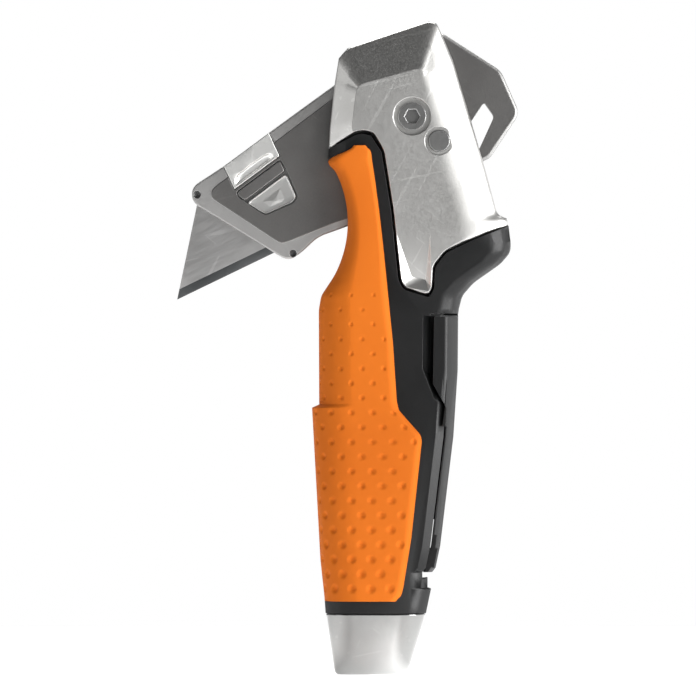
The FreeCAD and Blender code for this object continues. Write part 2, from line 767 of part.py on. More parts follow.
roll_x = (edge_roll, face_roll)
roll_y = (edge_half / frame_half, bevel_half / frame_half)
cap_layers = [
    (Size(0), oval(-8.8, 8.6, frame_half - 2.6, roll_x, roll_y)),
    (Size(0.6), oval(-9.4, 9.2, frame_half - 2.0, roll_x, roll_y)),
    (cap_height, oval(-11.5, 13.4, frame_half, roll_x, roll_y)),
]
cap_blank = layered("cap_blank", cap_layers, role="XY_Plane")
cap_tools = [
    post("cap_socket", stub_x, stub_r, cap_height - stub_depth, cap_height + 5),
    rod("cap_pin_hole", *cap_pin_at, cap_pin_r, -BEYOND, cap_pin_tip),
]
node("pommel_cap", cut("cap", cap_blank, cap_tools))
node("cap_pin", rod("cross_pin", *cap_pin_at, cap_pin_r, -(frame_half - CAP_PIN_SUNK), cap_pin_tip))


# ---------------------------------------------------------------- pivot

bolt_head = rod("bolt_disc", pivot_x, pivot_z, bolt_head_r, recess_floor, recess_floor + bolt_head_depth)
SOCKET_FLOOR = 0.3         # metal left under the hexagon socket
socket = doc.addObject("Part::Prism", "bolt_socket")
socket.Polygon = 6
socket.setExpression("Circumradius", (hex_across / (cosine(30) * 2)).text)
socket.Height = 5.0        # out past the bolt's head
socket.Placement = Placement(Vector(0, 0, 0), Rotation(Vector(1, 0, 0), 90))
placed(socket, pivot_x, recess_floor + SOCKET_FLOOR, pivot_z)
bolt_shank = rod("bolt_shank", pivot_x, pivot_z, bolt_r, -liner_half - bolt_reach, recess_floor)
node("pivot_bolt", fused("bolt", [cut("bolt_head", bolt_head, [socket]), bolt_shank]))

sleeve_barrel = rod("sleeve_barrel", pivot_x, pivot_z, sleeve_r, -recess_floor, sleeve_tip)
flange_face = -recess_floor - bolt_head_depth
sleeve_flange = rod("sleeve_flange", pivot_x, pivot_z, flange_r, flange_face, -recess_floor)
sleeve_thread = rod("sleeve_thread", pivot_x, pivot_z, bolt_r, -liner_half - bolt_reach, BEYOND)
node("pivot_sleeve", cut("sleeve", fused("sleeve_blank", [sleeve_barrel, sleeve_flange]), [sleeve_thread]))


def washer(name):
    """Thin bearing washer against the liner."""
    disc = rod(name + "_disc", pivot_x, pivot_z, washer_r, carrier_half + run_clear, slot_half)
    return cut(name, disc, [rod(name + "_hole", pivot_x, pivot_z, sleeve_r + 0.05, 0, BEYOND)])


node("pivot_washer_front", washer("front_washer"))
node("pivot_washer_rear", mirrored("rear_washer", washer("rear_washer_drawn")))


# ---------------------------------------------------------------- lock button

button_floor = liner_half
collar_top = -(slot_half + 0.1)
collar_base = collar_top - collar_depth
cap_floor = -lid_seat
button_parts = [
    rod("button_barrel", *lock_at, button_r, button_floor, head_half + button_proud),
    rod("button_stem", *lock_at, stem_r, collar_top, button_floor),
    rod("button_collar", *lock_at, collar_r, collar_base, collar_top),
]
node("lock_button", fused("button", button_parts))
lock_lid = rod("lock_lid", *lock_at, lock_cap_r, cap_floor - lock_cap_depth, cap_floor)
lid_slot = doc.addObject("Part::Box", "lock_lid_slot")
lid_slot.setExpression("Length", (lock_cap_r * 1.5).text)
lid_slot.Width = 2.0
lid_slot.Height = 0.9
placed(lid_slot, lock_at[0] - lock_cap_r * 0.75, cap_floor - lock_cap_depth + 0.6, lock_at[1] - 0.45)
node("lock_cap", cut("lock_lid_cut", lock_lid, [lid_slot]))


def coil(name, at, coil_r, wire_r, y_low, y_high, turns):
    """A round-wire compression spring between two depths."""
    body = doc.addObject("PartDesign::Body", name)
    wire = body.newObject("Sketcher::SketchObject", name + "_wire")
    wire.AttachmentSupport = [(origin_plane(body, "XY_Plane"), "")]
    wire.MapMode = "FlatFace"
    wire.addGeometry(Part.Circle(Vector(coil_r.value, wire_r.value, 0), Vector(0, 0, 1), wire_r.value))
    ring = wire.addConstraint(Sketcher.Constraint("Radius", 0, wire_r.value))
    wire.setExpression(f"Constraints[{ring}]", wire_r.text)
    across = wire.addConstraint(Sketcher.Constraint("DistanceX", -1, 1, 0, 3, coil_r.value))
    wire.setExpression(f"Constraints[{across}]", coil_r.text)
    above = wire.addConstraint(Sketcher.Constraint("DistanceY", -1, 1, 0, 3, wire_r.value))
    wire.setExpression(f"Constraints[{above}]", wire_r.text)
    helix = body.newObject("PartDesign::AdditiveHelix", name + "_helix")
    helix.Profile = wire
    helix.ReferenceAxis = (wire, ["V_Axis"])
    helix.Mode = 2
    helix.setExpression("Height", (y_high - y_low - wire_r * 2).text)
    helix.Turns = turns
    return placed(body, at[0], y_high, at[1])


node("lock_spring", coil("lock_coil", lock_at, Size(2.0), spring_wire_r, cap_floor, collar_base, 4))


# ---------------------------------------------------------------- blade carrier

CARRIER = [
    (-44.9, 117.85), (-20.95, 103.15), (-17.4, 105.5), (-13.7, 109.2), (-8.9, 110.9), (8.5, 117.5),
    (27.65, 128.1), (29.6, 129.05), (36.25, 139.1), (36.5, 141.0), (32.7, 149.6), (31.7, 151.05),
    (17.6, 160.15), (10.5, 160.15), (5.0, 157.6), (-9.35, 147.2), (-25.7, 135.3), (-37.05, 126.9),
    (-45.0, 121.7),
]
carrier_outline = [head_point(x, z) for x, z in CARRIER]
carrier_arcs = {1: 2.33, 2: -4.0, 5: 21.6, 18: 2.3}
WINDOW = [
    (26.8, 131.2), (30.5, 139.3), (28.0, 142.9), (24.75, 138.0), (23.3, 135.2), (23.6, 132.3), (25.6, 130.6),
]
COVER = [(-37.25, 126.95), (-34.4, 120.85), (-22.85, 129.4), (-25.7, 135.5)]
SCOOP = [(-34.2, 121.8), (-24.3, 129.2), (-25.3, 130.2), (-26.85, 129.8), (-33.7, 124.8), (-34.3, 123.7)]
PAD = [
    (-34.0, 120.4), (-33.4, 119.1), (-31.8, 118.0), (-27.5, 115.05), (-26.5, 114.7), (-19.65, 117.7),
    (-18.5, 119.25), (-21.2, 125.6), (-22.9, 128.7),
]
cover_outline = [head_point(x, z) for x, z in COVER]
slot_inner = lock_radius - stem_r - stem_clear
slot_outer = lock_radius + stem_r + stem_clear
slot_from = lock_angle - fold_closed - 2.5
slot_to = lock_angle + fold_open + 2.5


def lock_track(name, y_from, y_to):
    """Arc slot round the pivot that the lock's stem passes through."""
    points = [
        polar_point(slot_outer, slot_from), polar_point(slot_outer, slot_to),
        polar_point(slot_inner, slot_to), polar_point(slot_inner, slot_from),
    ]
    arcs = {0: slot_outer.value, 2: -slot_inner.value}
    ends = []
    for label, angle in (("closed", slot_from), ("open", slot_to)):
        at = polar_point(lock_radius, angle)
        ends.append(rod(f"{name}_{label}_end", *at, stem_r + stem_clear, y_from, y_to))
    return [prism(name, points, y_from, y_to, arcs)] + ends


def carrier_half_plate(name):
    """One plate of the carrier with everything that both plates have."""
    plate = prism(name + "_plate", carrier_outline, 0, carrier_half, carrier_arcs)
    tools = [
        prism(name + "_blade_pocket", blade_outline(tip_point, blade_tilt, blade_fit), -1, pocket_half),
        rod(name + "_pivot_bore", pivot_x, pivot_z, sleeve_r + run_clear, -1, BEYOND),
        prism(name + "_window", [head_point(x, z) for x, z in WINDOW], -1, BEYOND),
        rod(name + "_nose_hole", *nose_at, rivet_r, -1, BEYOND),
        rod(name + "_lower_hole", *lower_rivet_at, rivet_r, -1, BEYOND),
    ]
    return plate, tools + lock_track(name + "_track", -1, BEYOND)


pad_outline = [head_point(x, z) for x, z in PAD]
pad_top = carrier_half - 0.05
pad_floor = pad_top - release_depth - release_travel - 0.1
PAD_CENTRE = (-26.5, 121.0)


def pad_shrunk(gap):
    """The push pad's outline, drawn in from its pocket."""
    points = []
    for (x, z), point in zip(PAD, pad_outline):
        away = Vector(x - PAD_CENTRE[0], z - PAD_CENTRE[1], 0).normalize()
        points.append(moved(point, gap * (-away.x * 1.3), gap * (-away.y * 1.3)))
    return points


front_plate, front_tools = carrier_half_plate("front_carrier")
front_tools += [
    prism("cover_seat", cover_outline, carrier_half - cover_depth, BEYOND),
    prism("pad_pocket", pad_outline, pad_floor, BEYOND),
]
node("carrier_front", cut("front_carrier", front_plate, front_tools))

rear_plate, rear_tools = carrier_half_plate("rear_carrier")
for label, turned in (("open", fold_open), ("rest", Size(0)), ("closed", -fold_closed)):
    stop = polar_point(lock_radius, lock_angle + turned)
    rear_tools.append(rod(f"{label}_notch", *stop, collar_r + 0.15, carrier_half - 1.0, BEYOND))
node("carrier_rear", mirrored("rear_carrier", cut("rear_carrier_drawn", rear_plate, rear_tools)))

node("blade", prism("main_blade", blade_outline(tip_point, blade_tilt), -blade_half, blade_half))


def rivet(name, at):
    """A pin through both plates, flush on each side."""
    return rod(name, *at, rivet_r, -carrier_half, carrier_half)


node("nose_rivet", rivet("front_rivet", nose_at))
node("lower_rivet", rivet("heel_rivet", lower_rivet_at))

cover_plate = prism("cover_plate", cover_outline, carrier_half - cover_depth, carrier_half)
cover_scoop = prism("cover_scoop", [head_point(x, z) for x, z in SCOOP], carrier_half - 0.8, BEYOND)
node("release_plate", cut("cover", cover_plate, [cover_scoop]))
node("release_button", prism("push_pad", pad_shrunk(release_gap), pad_top - release_depth, pad_top))
pad_centre_at = head_point(-25.6, 119.6)
spring_high = pad_top - release_depth
node("release_spring", coil("pad_coil", pad_centre_at, Size(1.6), Size(0.15), pad_floor, spring_high, 2))


# ---------------------------------------------------------------- storage door

def door_side(name):
    """Strip and wing of the door on one side."""
    strip_layers = [
        (Size(0), door_strip(door_skin)), (edge_half, door_strip(door_skin)),
        (bevel_half, door_strip(door_skin, edge_roll)),
    ]
    wing_layers = [
        (Size(0), door_wing(0.0, 0.0)), (edge_half, door_wing(0.0, 0.0)),
        (bevel_half, door_wing(edge_roll, 0.0)), (frame_half, door_wing(face_roll - 1.6, 0.0)),
    ]
    hollow = [door_point(x, z) for x, z in
              ((10.0, 60.0), (18.0, 60.0), (19.2, 76.3), (19.3, 95.0), (10.0, 95.0))]
    wing = cut(name + "_wing_shell", layered(name + "_wing", wing_layers),
               [prism(name + "_hollow", hollow, -1, door_inner_half)])
    foot = [hinge_point(x, z) for x, z in ((8.0, 20.0), (25.0, 20.0), (25.0, 35.0), (8.0, 35.0))]
    strip = cut(name + "_strip_shell", layered(name + "_strip", strip_layers),
                [prism(name + "_foot_trim", foot, knuckle_half, BEYOND)])
    return [strip, wing]


def tray_origin():
    """Corner of the spare blades beside the hinge."""
    return hinge_point(12.3, 24.0)


spare_turn = tray_tilt
spare_u = (sine(spare_turn), cosine(spare_turn))


def spare_outline(grow=0.0):
    """A spare blade in the tray, cutting edge towards the front of the handle."""
    corner = tray_origin()
    start = (corner[0] - blade_wide * cosine(spare_turn), corner[1] + blade_wide * sine(spare_turn))
    slope = blade_wide / tangent(blade_end_angle)
    grow = as_size(grow)

    def at(along, across):
        return (start[0] + spare_u[0] * along + spare_u[1] * across,
                start[1] + spare_u[1] * along - spare_u[0] * across)

    return [
        at(-grow, -grow), at(slope - grow, blade_wide + grow),
        at(blade_long - slope + grow, blade_wide + grow), at(blade_long + grow, -grow),
    ]


tray_front = -(liner_half + tray_gap)
tray_base = tray_front - tray_floor
tray_plate = prism("tray_plate", spare_outline(0.5), tray_base, tray_front)
RIB = ((12.5, 38.6), (16.9, 38.6), (19.4, 60.0), (19.8, 68.0), (15.0, 68.0))
tray_rib = prism("tray_rib", [hinge_point(x, z) for x, z in RIB], tray_base, tray_front)
knuckle = rod("knuckle", hinge_x, hinge_z, knuckle_r, -knuckle_half, knuckle_half)
KNUCKLE_WEB = ((12.6, 28.0), (15.4, 26.6), (16.4, 31.6), (13.6, 31.4))
knuckle_web = prism("knuckle_web", [hinge_point(x, z) for x, z in KNUCKLE_WEB], -knuckle_half, knuckle_half)
front_side = fused("door_front_side", door_side("door_front"))
rear_side = mirrored("door_rear_side", fused("door_rear_drawn", door_side("door_rear")))
door_parts = [front_side, rear_side, tray_plate, tray_rib, knuckle, knuckle_web]
pin_bore = rod("knuckle_bore", hinge_x, hinge_z, hinge_pin_r + run_clear, -BEYOND, BEYOND)
node("storage_door", cut("door", fused("door_blank", door_parts), [pin_bore]))

node("door_pin", rod("hinge_pin", hinge_x, hinge_z, hinge_pin_r, -pin_half, pin_half))
for number in range(1, spare_count + 1):
    near = tray_base - blade_thick * (number - 1)
    spare = prism(f"spare_{number}", spare_outline(), near - blade_thick, near)
    node(f"spare_blade_{number}", spare)


# ---------------------------------------------------------------- screws

DRIVE_R, DRIVE_DEPTH = 1.1, 0.9


def screw(name, at, tip, head_from):
    """Socket screw put in from the rear: its head lies beyond head_from."""
    shank = rod(name + "_shank", *at, screw_r, -head_from, tip)
    disc = rod(name + "_disc", *at, screw_head_r, -head_from - screw_head_depth, -head_from)
    drive_floor = -head_from - screw_head_depth + DRIVE_DEPTH
    drive = rod(name + "_drive", *at, DRIVE_R, -head_from - BEYOND, drive_floor)
    return fused(name, [shank, cut(name + "_head", disc, [drive])])


node("heel_screw", screw("heel_bolt", heel_screw_at, head_half - tip_cover, heel_head_from))
node("lower_screw", screw("lower_bolt", lower_screw_at, frame_half - tip_cover, lower_head_from))


# ---------------------------------------------------------------- checks and export

doc.recompute()
failed = [item.Name for item in doc.Objects if {"Invalid", "Error"} & set(item.State)]
if failed:
    raise RuntimeError("failed objects: " + ", ".join(failed))
os.makedirs("parts", exist_ok=True)
for name, piece in nodes:
    shape = piece.Shape
    if shape.isNull() or not shape.isValid() or not shape.Solids:
        raise RuntimeError("bad shape: " + name)
for name, piece in nodes:
    box = piece.Shape.BoundBox
    print(f"{name:20s} solids {len(piece.Shape.Solids)} volume {piece.Shape.Volume:9.2f} "
          f"X {box.XMin:7.2f} {box.XMax:7.2f} Y {box.YMin:7.2f} {box.YMax:7.2f} "
          f"Z {box.ZMin:7.2f} {box.ZMax:7.2f}")
    piece.Shape.exportStep(f"parts/{name}.step")
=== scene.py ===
# %% [markdown]
# # A folding utility knife
# The knife stands on its polished metal cap. The CAD model already fixes every part's
# place and every joint. This lesson gives the parts that show their real surfaces: an
# overmoulded rubber grip, a cast head, a folding blade carrier, and the finishes.
# We load the frame first, because every piece takes its place from it.

# %% Load the frame
import math

import bmesh
import bpy
import numpy as np
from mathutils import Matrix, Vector


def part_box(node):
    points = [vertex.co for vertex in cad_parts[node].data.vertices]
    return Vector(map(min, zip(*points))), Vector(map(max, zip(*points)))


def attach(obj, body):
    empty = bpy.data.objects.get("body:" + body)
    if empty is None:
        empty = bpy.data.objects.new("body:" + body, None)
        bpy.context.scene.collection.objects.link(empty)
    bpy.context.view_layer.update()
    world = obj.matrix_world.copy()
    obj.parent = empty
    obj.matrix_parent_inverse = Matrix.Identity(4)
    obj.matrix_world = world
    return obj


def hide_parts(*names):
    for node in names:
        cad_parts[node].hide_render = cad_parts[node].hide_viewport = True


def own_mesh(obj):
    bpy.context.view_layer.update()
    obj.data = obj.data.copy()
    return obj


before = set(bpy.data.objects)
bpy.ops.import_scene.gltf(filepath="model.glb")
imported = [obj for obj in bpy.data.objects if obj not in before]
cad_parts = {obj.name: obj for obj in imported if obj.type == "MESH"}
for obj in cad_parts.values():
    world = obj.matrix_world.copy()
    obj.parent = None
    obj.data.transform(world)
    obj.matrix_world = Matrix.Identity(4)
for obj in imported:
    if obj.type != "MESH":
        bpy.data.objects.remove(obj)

MM = 0.001
FRONT, REAR = -1.0, 1.0
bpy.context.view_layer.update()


def centre_of(node):
    """Middle of a CAD node's box as x and z, in millimetres."""
    low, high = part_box(node)
    return (low[0] + high[0]) / 2 / MM, (low[2] + high[2]) / 2 / MM


PIVOT = centre_of("pivot_bolt")
LOCK = centre_of("lock_button")
print("pivot", np.round(PIVOT, 2), "lock button", np.round(LOCK, 2))

# %% [markdown]
# ## Outlines and rings
# Nearly every part of this knife is a plate whose outline changes a little with depth.
# It could be modelled by pulling vertices about, or by bevelling a box. Here each part is
# a stack of rings: the same outline, drawn at several depths, with its corners eased.
# That way a whole part is a few lines of arithmetic on arrays, and no edge is left sharp.

# %% Eased outlines
MOST = 0.45  # an eased corner takes at most this share of the side next to it
TINY = 1e-9


def quadratic(start, control, end, t):
    """Points of the quadratic curve from start to end, pulled towards its control point."""
    return (1 - t) ** 2 * start[:, None] + 2 * t * (1 - t) * control[:, None] + t ** 2 * end[:, None]


def eased_loop(corners, reach, arc_steps=5, side_steps=3):
    """Closed outline through corners (n, k). Each corner is swapped for a quadratic
    curve: it starts `reach` before the corner, ends `reach` after it, and has the corner
    as its control point. Straight sides between the curves get side_steps points."""
    corners = np.asarray(corners, float)
    before = np.roll(corners, 1, axis=0) - corners
    after = np.roll(corners, -1, axis=0) - corners
    reach = np.broadcast_to(np.asarray(reach, float), len(corners))
    share_before = np.minimum(reach / np.linalg.norm(before[:, :2], axis=1), MOST)[:, None]
    share_after = np.minimum(reach / np.linalg.norm(after[:, :2], axis=1), MOST)[:, None]
    start, end = corners + before * share_before, corners + after * share_after
    t = np.linspace(0, 1, arc_steps)[None, :, None]
    arcs = quadratic(start, corners, end, t)
    s = np.linspace(0, 1, side_steps + 2)[1:-1][None, :, None]
    sides = (1 - s) * end[:, None] + s * np.roll(start, -1, axis=0)[:, None]
    return np.concatenate([arcs, sides], axis=1).reshape(-1, corners.shape[1])


def eased_rings(rings, reach, steps=4):
    """Stack of rings (k, n, 3). Every ring but the first and last is swapped for a
    quadratic curve towards its neighbours, so the wall turns smoothly there."""
    rings = np.asarray(rings, float)
    inner = rings[1:-1]
    back, ahead = rings[:-2] - inner, rings[2:] - inner
    reach = np.asarray(reach, float).reshape(len(inner), -1, 1)
    start = inner + back * np.minimum(reach / (np.linalg.norm(back, axis=2, keepdims=True) + TINY), MOST)
    end = inner + ahead * np.minimum(reach / (np.linalg.norm(ahead, axis=2, keepdims=True) + TINY), MOST)
    arcs = quadratic(start, inner, end, np.linspace(0, 1, steps)[None, :, None, None])
    return np.concatenate([rings[:1], arcs.reshape(-1, *rings.shape[1:]), rings[-1:]])


def drawn_in(loop, distance):
    """The loop moved inwards along its own normals: each tangent is the step from the
    point before to the point after, turned a quarter towards the inside."""
    loop = np.asarray(loop, float)
    tangent = np.roll(loop, -1, axis=0) - np.roll(loop, 1, axis=0)
    normal = np.stack([-tangent[:, 1], tangent[:, 0]], axis=1)
    normal /= np.linalg.norm(normal, axis=1, keepdims=True) + TINY
    x, z = loop[:, 0], loop[:, 1]
    area = 0.5 * np.sum(x * np.roll(z, -1) - np.roll(x, -1) * z)
    return loop[:, :2] + normal * distance * np.sign(area)


def at_depth(loop, depth, side):
    """A flat outline (x, z) put at a depth on the front (-1) or rear (+1) side."""
    loop = np.asarray(loop, float)
    depth = np.broadcast_to(np.asarray(depth, float), len(loop))
    return np.stack([loop[:, 0], side * depth, loop[:, 1]], axis=1)


def stacked(side, *pairs):
    """Rings from pairs of an outline and its depth, all on one side."""
    return [at_depth(loop, depth, side) for loop, depth in pairs]


def circle(centre, radius, count=64):
    """Round outline: centre plus radius times cosine and sine of evenly spaced angles."""
    angle = np.linspace(0, 2 * math.pi, count, endpoint=False)
    return np.stack([centre[0] + radius * np.cos(angle), centre[1] + radius * np.sin(angle)], axis=1)


# %% [markdown]
# ## From rings to a solid
# Neighbouring rings are joined by four-sided faces and both ends get one flat face, so
# every piece is closed. A wall could be drawn with its holes in it, but each hole would
# need its own pattern of faces, so holes are cut with exact booleans afterwards.

# %% Turning rings into a closed piece
WELD = 2e-7  # metres; points closer than this are one point


def linked(name, data):
    """A new object in the scene for a mesh, a lamp or a camera."""
    piece = bpy.data.objects.new(name, data)
    bpy.context.scene.collection.objects.link(piece)
    return piece


def wall_faces(rows, columns):
    """Quads between neighbouring closed rings, as an array of vertex numbers."""
    row, column = np.arange(rows - 1)[:, None], np.arange(columns)[None, :]
    first, second = row * columns + column, row * columns + (column + 1) % columns
    return np.stack([first, second, second + columns, first + columns], axis=-1).reshape(-1, 4)


def welded(mesh, distance=WELD, flat_degrees=0.0):
    """Joins points that are closer than the distance, joins faces that are flat to within
    the angle, and turns all faces outwards."""
    work = bmesh.new()
    work.from_mesh(mesh)
    bmesh.ops.remove_doubles(work, verts=work.verts, dist=distance)
    if flat_degrees:
        limit = math.radians(flat_degrees)
        bmesh.ops.dissolve_limit(work, angle_limit=limit, verts=work.verts, edges=work.edges)
    bmesh.ops.recalc_face_normals(work, faces=work.faces)
    work.to_mesh(mesh)
    work.free()
    return mesh


def cad_copy(name, node, distance, flat_degrees=0.0):
    """A welded copy of a CAD node's mesh without its materials, as a new piece."""
    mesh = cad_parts[node].data.copy()
    mesh.name = name
    mesh.materials.clear()
    return linked(name, welded(mesh, distance, flat_degrees))


def ring_piece(name, rings):
    """A closed piece: walls between the rings and one flat face on each end."""
    rings = np.asarray(rings, float)
    rows, columns = rings.shape[:2]
    faces = wall_faces(rows, columns).tolist()
    faces.append(list(range(columns))[::-1])
    faces.append(list(range((rows - 1) * columns, rows * columns)))
    mesh = bpy.data.meshes.new(name)
    mesh.from_pydata((rings.reshape(-1, 3) * MM).tolist(), [], faces)
    return linked(name, welded(mesh))


def prism_piece(name, loop, low, high, side):
    """A straight-walled solid between two depths, used as a cutter."""
    return ring_piece(name, stacked(side, (loop, low), (loop, high)))


def hull_piece(name, points):
    """The smallest convex solid round the points, for a cutter with sloping sides."""
    work = bmesh.new()
    for point in np.asarray(points, float) * MM:
        work.verts.new(point)
    bmesh.ops.convex_hull(work, input=work.verts)
    mesh = bpy.data.meshes.new(name)
    work.to_mesh(mesh)
    work.free()
    return linked(name, mesh)


def two_finishes(piece, first, second, faces):
    """Puts the second finish on some of the faces and the first one on the rest."""
    piece.data.materials.append(first)
    piece.data.materials.append(second)
    index = np.zeros(len(piece.data.polygons), np.int32)
    index[faces] = 1
    piece.data.polygons.foreach_set("material_index", index)


def carved(piece, cutters):
    """Takes closed cutters away from a piece at once and throws the cutters away."""
    for number, cutter in enumerate(cutters):
        step = piece.modifiers.new(f"cut_{number}", "BOOLEAN")
        step.operation, step.solver, step.object = "DIFFERENCE", "EXACT", cutter
    graph = bpy.context.evaluated_depsgraph_get()
    mesh = bpy.data.meshes.new_from_object(piece.evaluated_get(graph))
    piece.modifiers.clear()
    piece.data = mesh
    for cutter in cutters:
        bpy.data.objects.remove(cutter)
    return piece


def smoothed(piece, sharp_degrees=32.0, flat_wins=False):
    """Smooth shading, broken where two faces meet at more than the given angle. With
    flat_wins, large faces decide the normals, so flat areas stay flat to the eye."""
    mesh = piece.data
    mesh.polygons.foreach_set("use_smooth", np.ones(len(mesh.polygons), bool))
    mesh.set_sharp_from_angle(angle=math.radians(sharp_degrees))
    if flat_wins:
        weighted = piece.modifiers.new("flat_faces_win", "WEIGHTED_NORMAL")
        weighted.mode, weighted.weight, weighted.keep_sharp = "FACE_AREA", 100, True
    return piece


def fitted(piece, body, slot_name, material, *nodes):
    """Puts a finished piece on its body, in place of the CAD nodes that it stands for."""
    if material is not None and not piece.data.materials:
        piece.data.materials.append(material)
    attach(piece, body)
    if nodes:
        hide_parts(*nodes)
    print(f"{piece.name:24s} faces {len(piece.data.polygons):6d}")
    return piece


# %% [markdown]
# ## Finishes
# Each real surface is more than a colour: cast metal is cloudy and carries hairline
# scratches, ground steel has lines in one direction, and rubber is dull with a fine grain.
# Edges are painted lighter: a painted edge highlight, which partly also stands for rubbing.
# Painting image maps would tie the finish to one size, so every finish here is worked out
# from Object coordinates. One builder makes them all from the same four parts: cloud,
# grain, scratches and lighter edges. The edges are found by rounding the normal over a
# fraction of a millimetre, which doesn't depend on how the mesh is divided.

# %% Small node helpers


def feed(tree, node, values):
    """Links outputs to a node's inputs, and sets the other inputs to numbers or colours."""
    for name, value in values.items():
        socket = node.inputs[name]
        if isinstance(value, bpy.types.NodeSocket):
            tree.links.new(value, socket)
        else:
            socket.default_value = (*value, 1) if socket.type == "RGBA" else value


def noise(tree, source, scale, detail, stretch=(1, 1, 1), turn=(0, 0, 0)):
    """Noise on the given coordinates: turned first, then stretched along the new axes."""
    mapping = tree.nodes.new("ShaderNodeMapping")
    mapping.vector_type = "TEXTURE"
    feed(tree, mapping, {"Vector": source, "Rotation": turn, "Scale": [1 / part for part in stretch]})
    texture = tree.nodes.new("ShaderNodeTexNoise")
    feed(tree, texture, {"Vector": mapping.outputs["Vector"], "Scale": scale, "Detail": detail})
    return texture.outputs["Fac"]


def ramp(tree, source, stops):
    """A colour ramp with (position, grey or colour) stops."""
    node = tree.nodes.new("ShaderNodeValToRGB")
    elements = node.color_ramp.elements
    for _ in stops[2:]:
        elements.new(0.5)
    for element, (position, colour) in zip(elements, stops):
        element.position = position
        element.color = (colour, colour, colour, 1) if np.isscalar(colour) else (*colour, 1)
    tree.links.new(source, node.inputs["Fac"])
    return node.outputs["Color"]


def between(tree, factor, first, second, blend="MIX"):
    """Mixes two colours or outputs by a factor."""
    node = tree.nodes.new("ShaderNodeMix")
    node.data_type, node.blend_type = "RGBA", blend
    feed(tree, node, {"Factor": factor, "A": first, "B": second})
    return node.outputs["Result"]


def sums(tree, operation, *values, clamp=False):
    """One step of arithmetic on outputs and numbers."""
    node = tree.nodes.new("ShaderNodeMath")
    node.operation, node.use_clamp = operation, clamp
    feed(tree, node, dict(enumerate(values)))
    return node.outputs["Value"]


def mapped(tree, source, low, high, first=0.0, last=1.0):
    """The range from low to high stretched over the range from first to last."""
    node = tree.nodes.new("ShaderNodeMapRange")
    feed(tree, node, {"Value": source, "From Min": low, "From Max": high, "To Min": first, "To Max": last})
    return node.outputs["Result"]


# %% One builder for all finishes
SCRATCH_SETS = ((700.0, 0.5), (900.0, -0.9), (600.0, 1.35))  # how fine, and the lean in radians


def edge_mask(tree, rounded, rubbed_and_lit_share):
    """How far the rounded normal leans away from the plain one: nothing on a flat or
    softly curved area, up to the given share along an edge, convex and hollow alike. It
    places the painted edge highlight, which partly also stands for rubbing."""
    plain = tree.nodes.new("ShaderNodeNewGeometry").outputs["Normal"]
    lean = tree.nodes.new("ShaderNodeVectorMath")
    lean.operation = "DOT_PRODUCT"
    feed(tree, lean, {0: plain, 1: rounded})
    return ramp(tree, lean.outputs["Value"], [(0.86, rubbed_and_lit_share), (0.985, 0.0)])


def finish(name, dark, light, metallic, rough, cloud=60.0, grain=2500.0, stretch=(1, 1, 1),
           turn=(0, 0, 0), bump=0.15, scratches=0.0, rubbed_and_lit_tone=None, rubbed_and_lit_share=0.5, gloss=0.5, rounding=0.22):
    """Cloud picks between dark and light, grain drives roughness and a fine bump, long
    thin noise gives scratches. Normals are rounded over edges by `rounding` millimetres,
    and where that happens the tone fades towards the edge tone: a painted edge highlight,
    which partly also stands for rubbing."""
    material = bpy.data.materials.new(name)
    material.use_nodes = True
    tree = material.node_tree
    shader = tree.nodes["Principled BSDF"]
    place = tree.nodes.new("ShaderNodeTexCoord").outputs["Object"]
    cloudy = noise(tree, place, cloud, 5.0)
    fine = noise(tree, place, grain, 3.0, stretch, turn)
    tone = between(tree, ramp(tree, cloudy, [(0.32, 0.0), (0.68, 1.0)]), dark, light)
    relief = fine
    if scratches:
        marks = None
        for scale, lean in SCRATCH_SETS:
            thin = noise(tree, place, scale, 1.0, (1.0, 1.0, 0.05), (0, lean, 0))
            line = ramp(tree, thin, [(0.71, 0.0), (0.735, 1.0)])
            marks = line if marks is None else sums(tree, "ADD", marks, line)
        pale = tuple(min(1.0, part * 1.35 + 0.06) for part in light)
        tone = between(tree, sums(tree, "MULTIPLY", marks, scratches, clamp=True), tone, pale)
        relief = sums(tree, "MULTIPLY_ADD", marks, -0.8, fine)
    rounded = tree.nodes.new("ShaderNodeBevel")
    rounded.samples = 6
    feed(tree, rounded, {"Radius": rounding * MM})
    # Lighter edges: a painted edge highlight on every rounded edge, convex and hollow alike, which partly
    # also stands for rubbing.
    if rubbed_and_lit_tone is not None:
        tone = between(tree, edge_mask(tree, rounded.outputs["Normal"], rubbed_and_lit_share), tone, rubbed_and_lit_tone)
    spread = mapped(tree, sums(tree, "MULTIPLY_ADD", cloudy, 0.15, fine), 0.3, 0.7, *rough)
    bumped = tree.nodes.new("ShaderNodeBump")
    feed(tree, bumped, {"Strength": bump, "Distance": 0.05 * MM, "Height": relief,
                        "Normal": rounded.outputs["Normal"]})
    feed(tree, shader, {"Base Color": tone, "Metallic": metallic, "Roughness": spread,
                        "Specular IOR Level": gloss, "Normal": bumped.outputs["Normal"]})
    return material


# %% The finishes
BLADE_LEAN = math.radians(25.8)  # of the blade against the ground
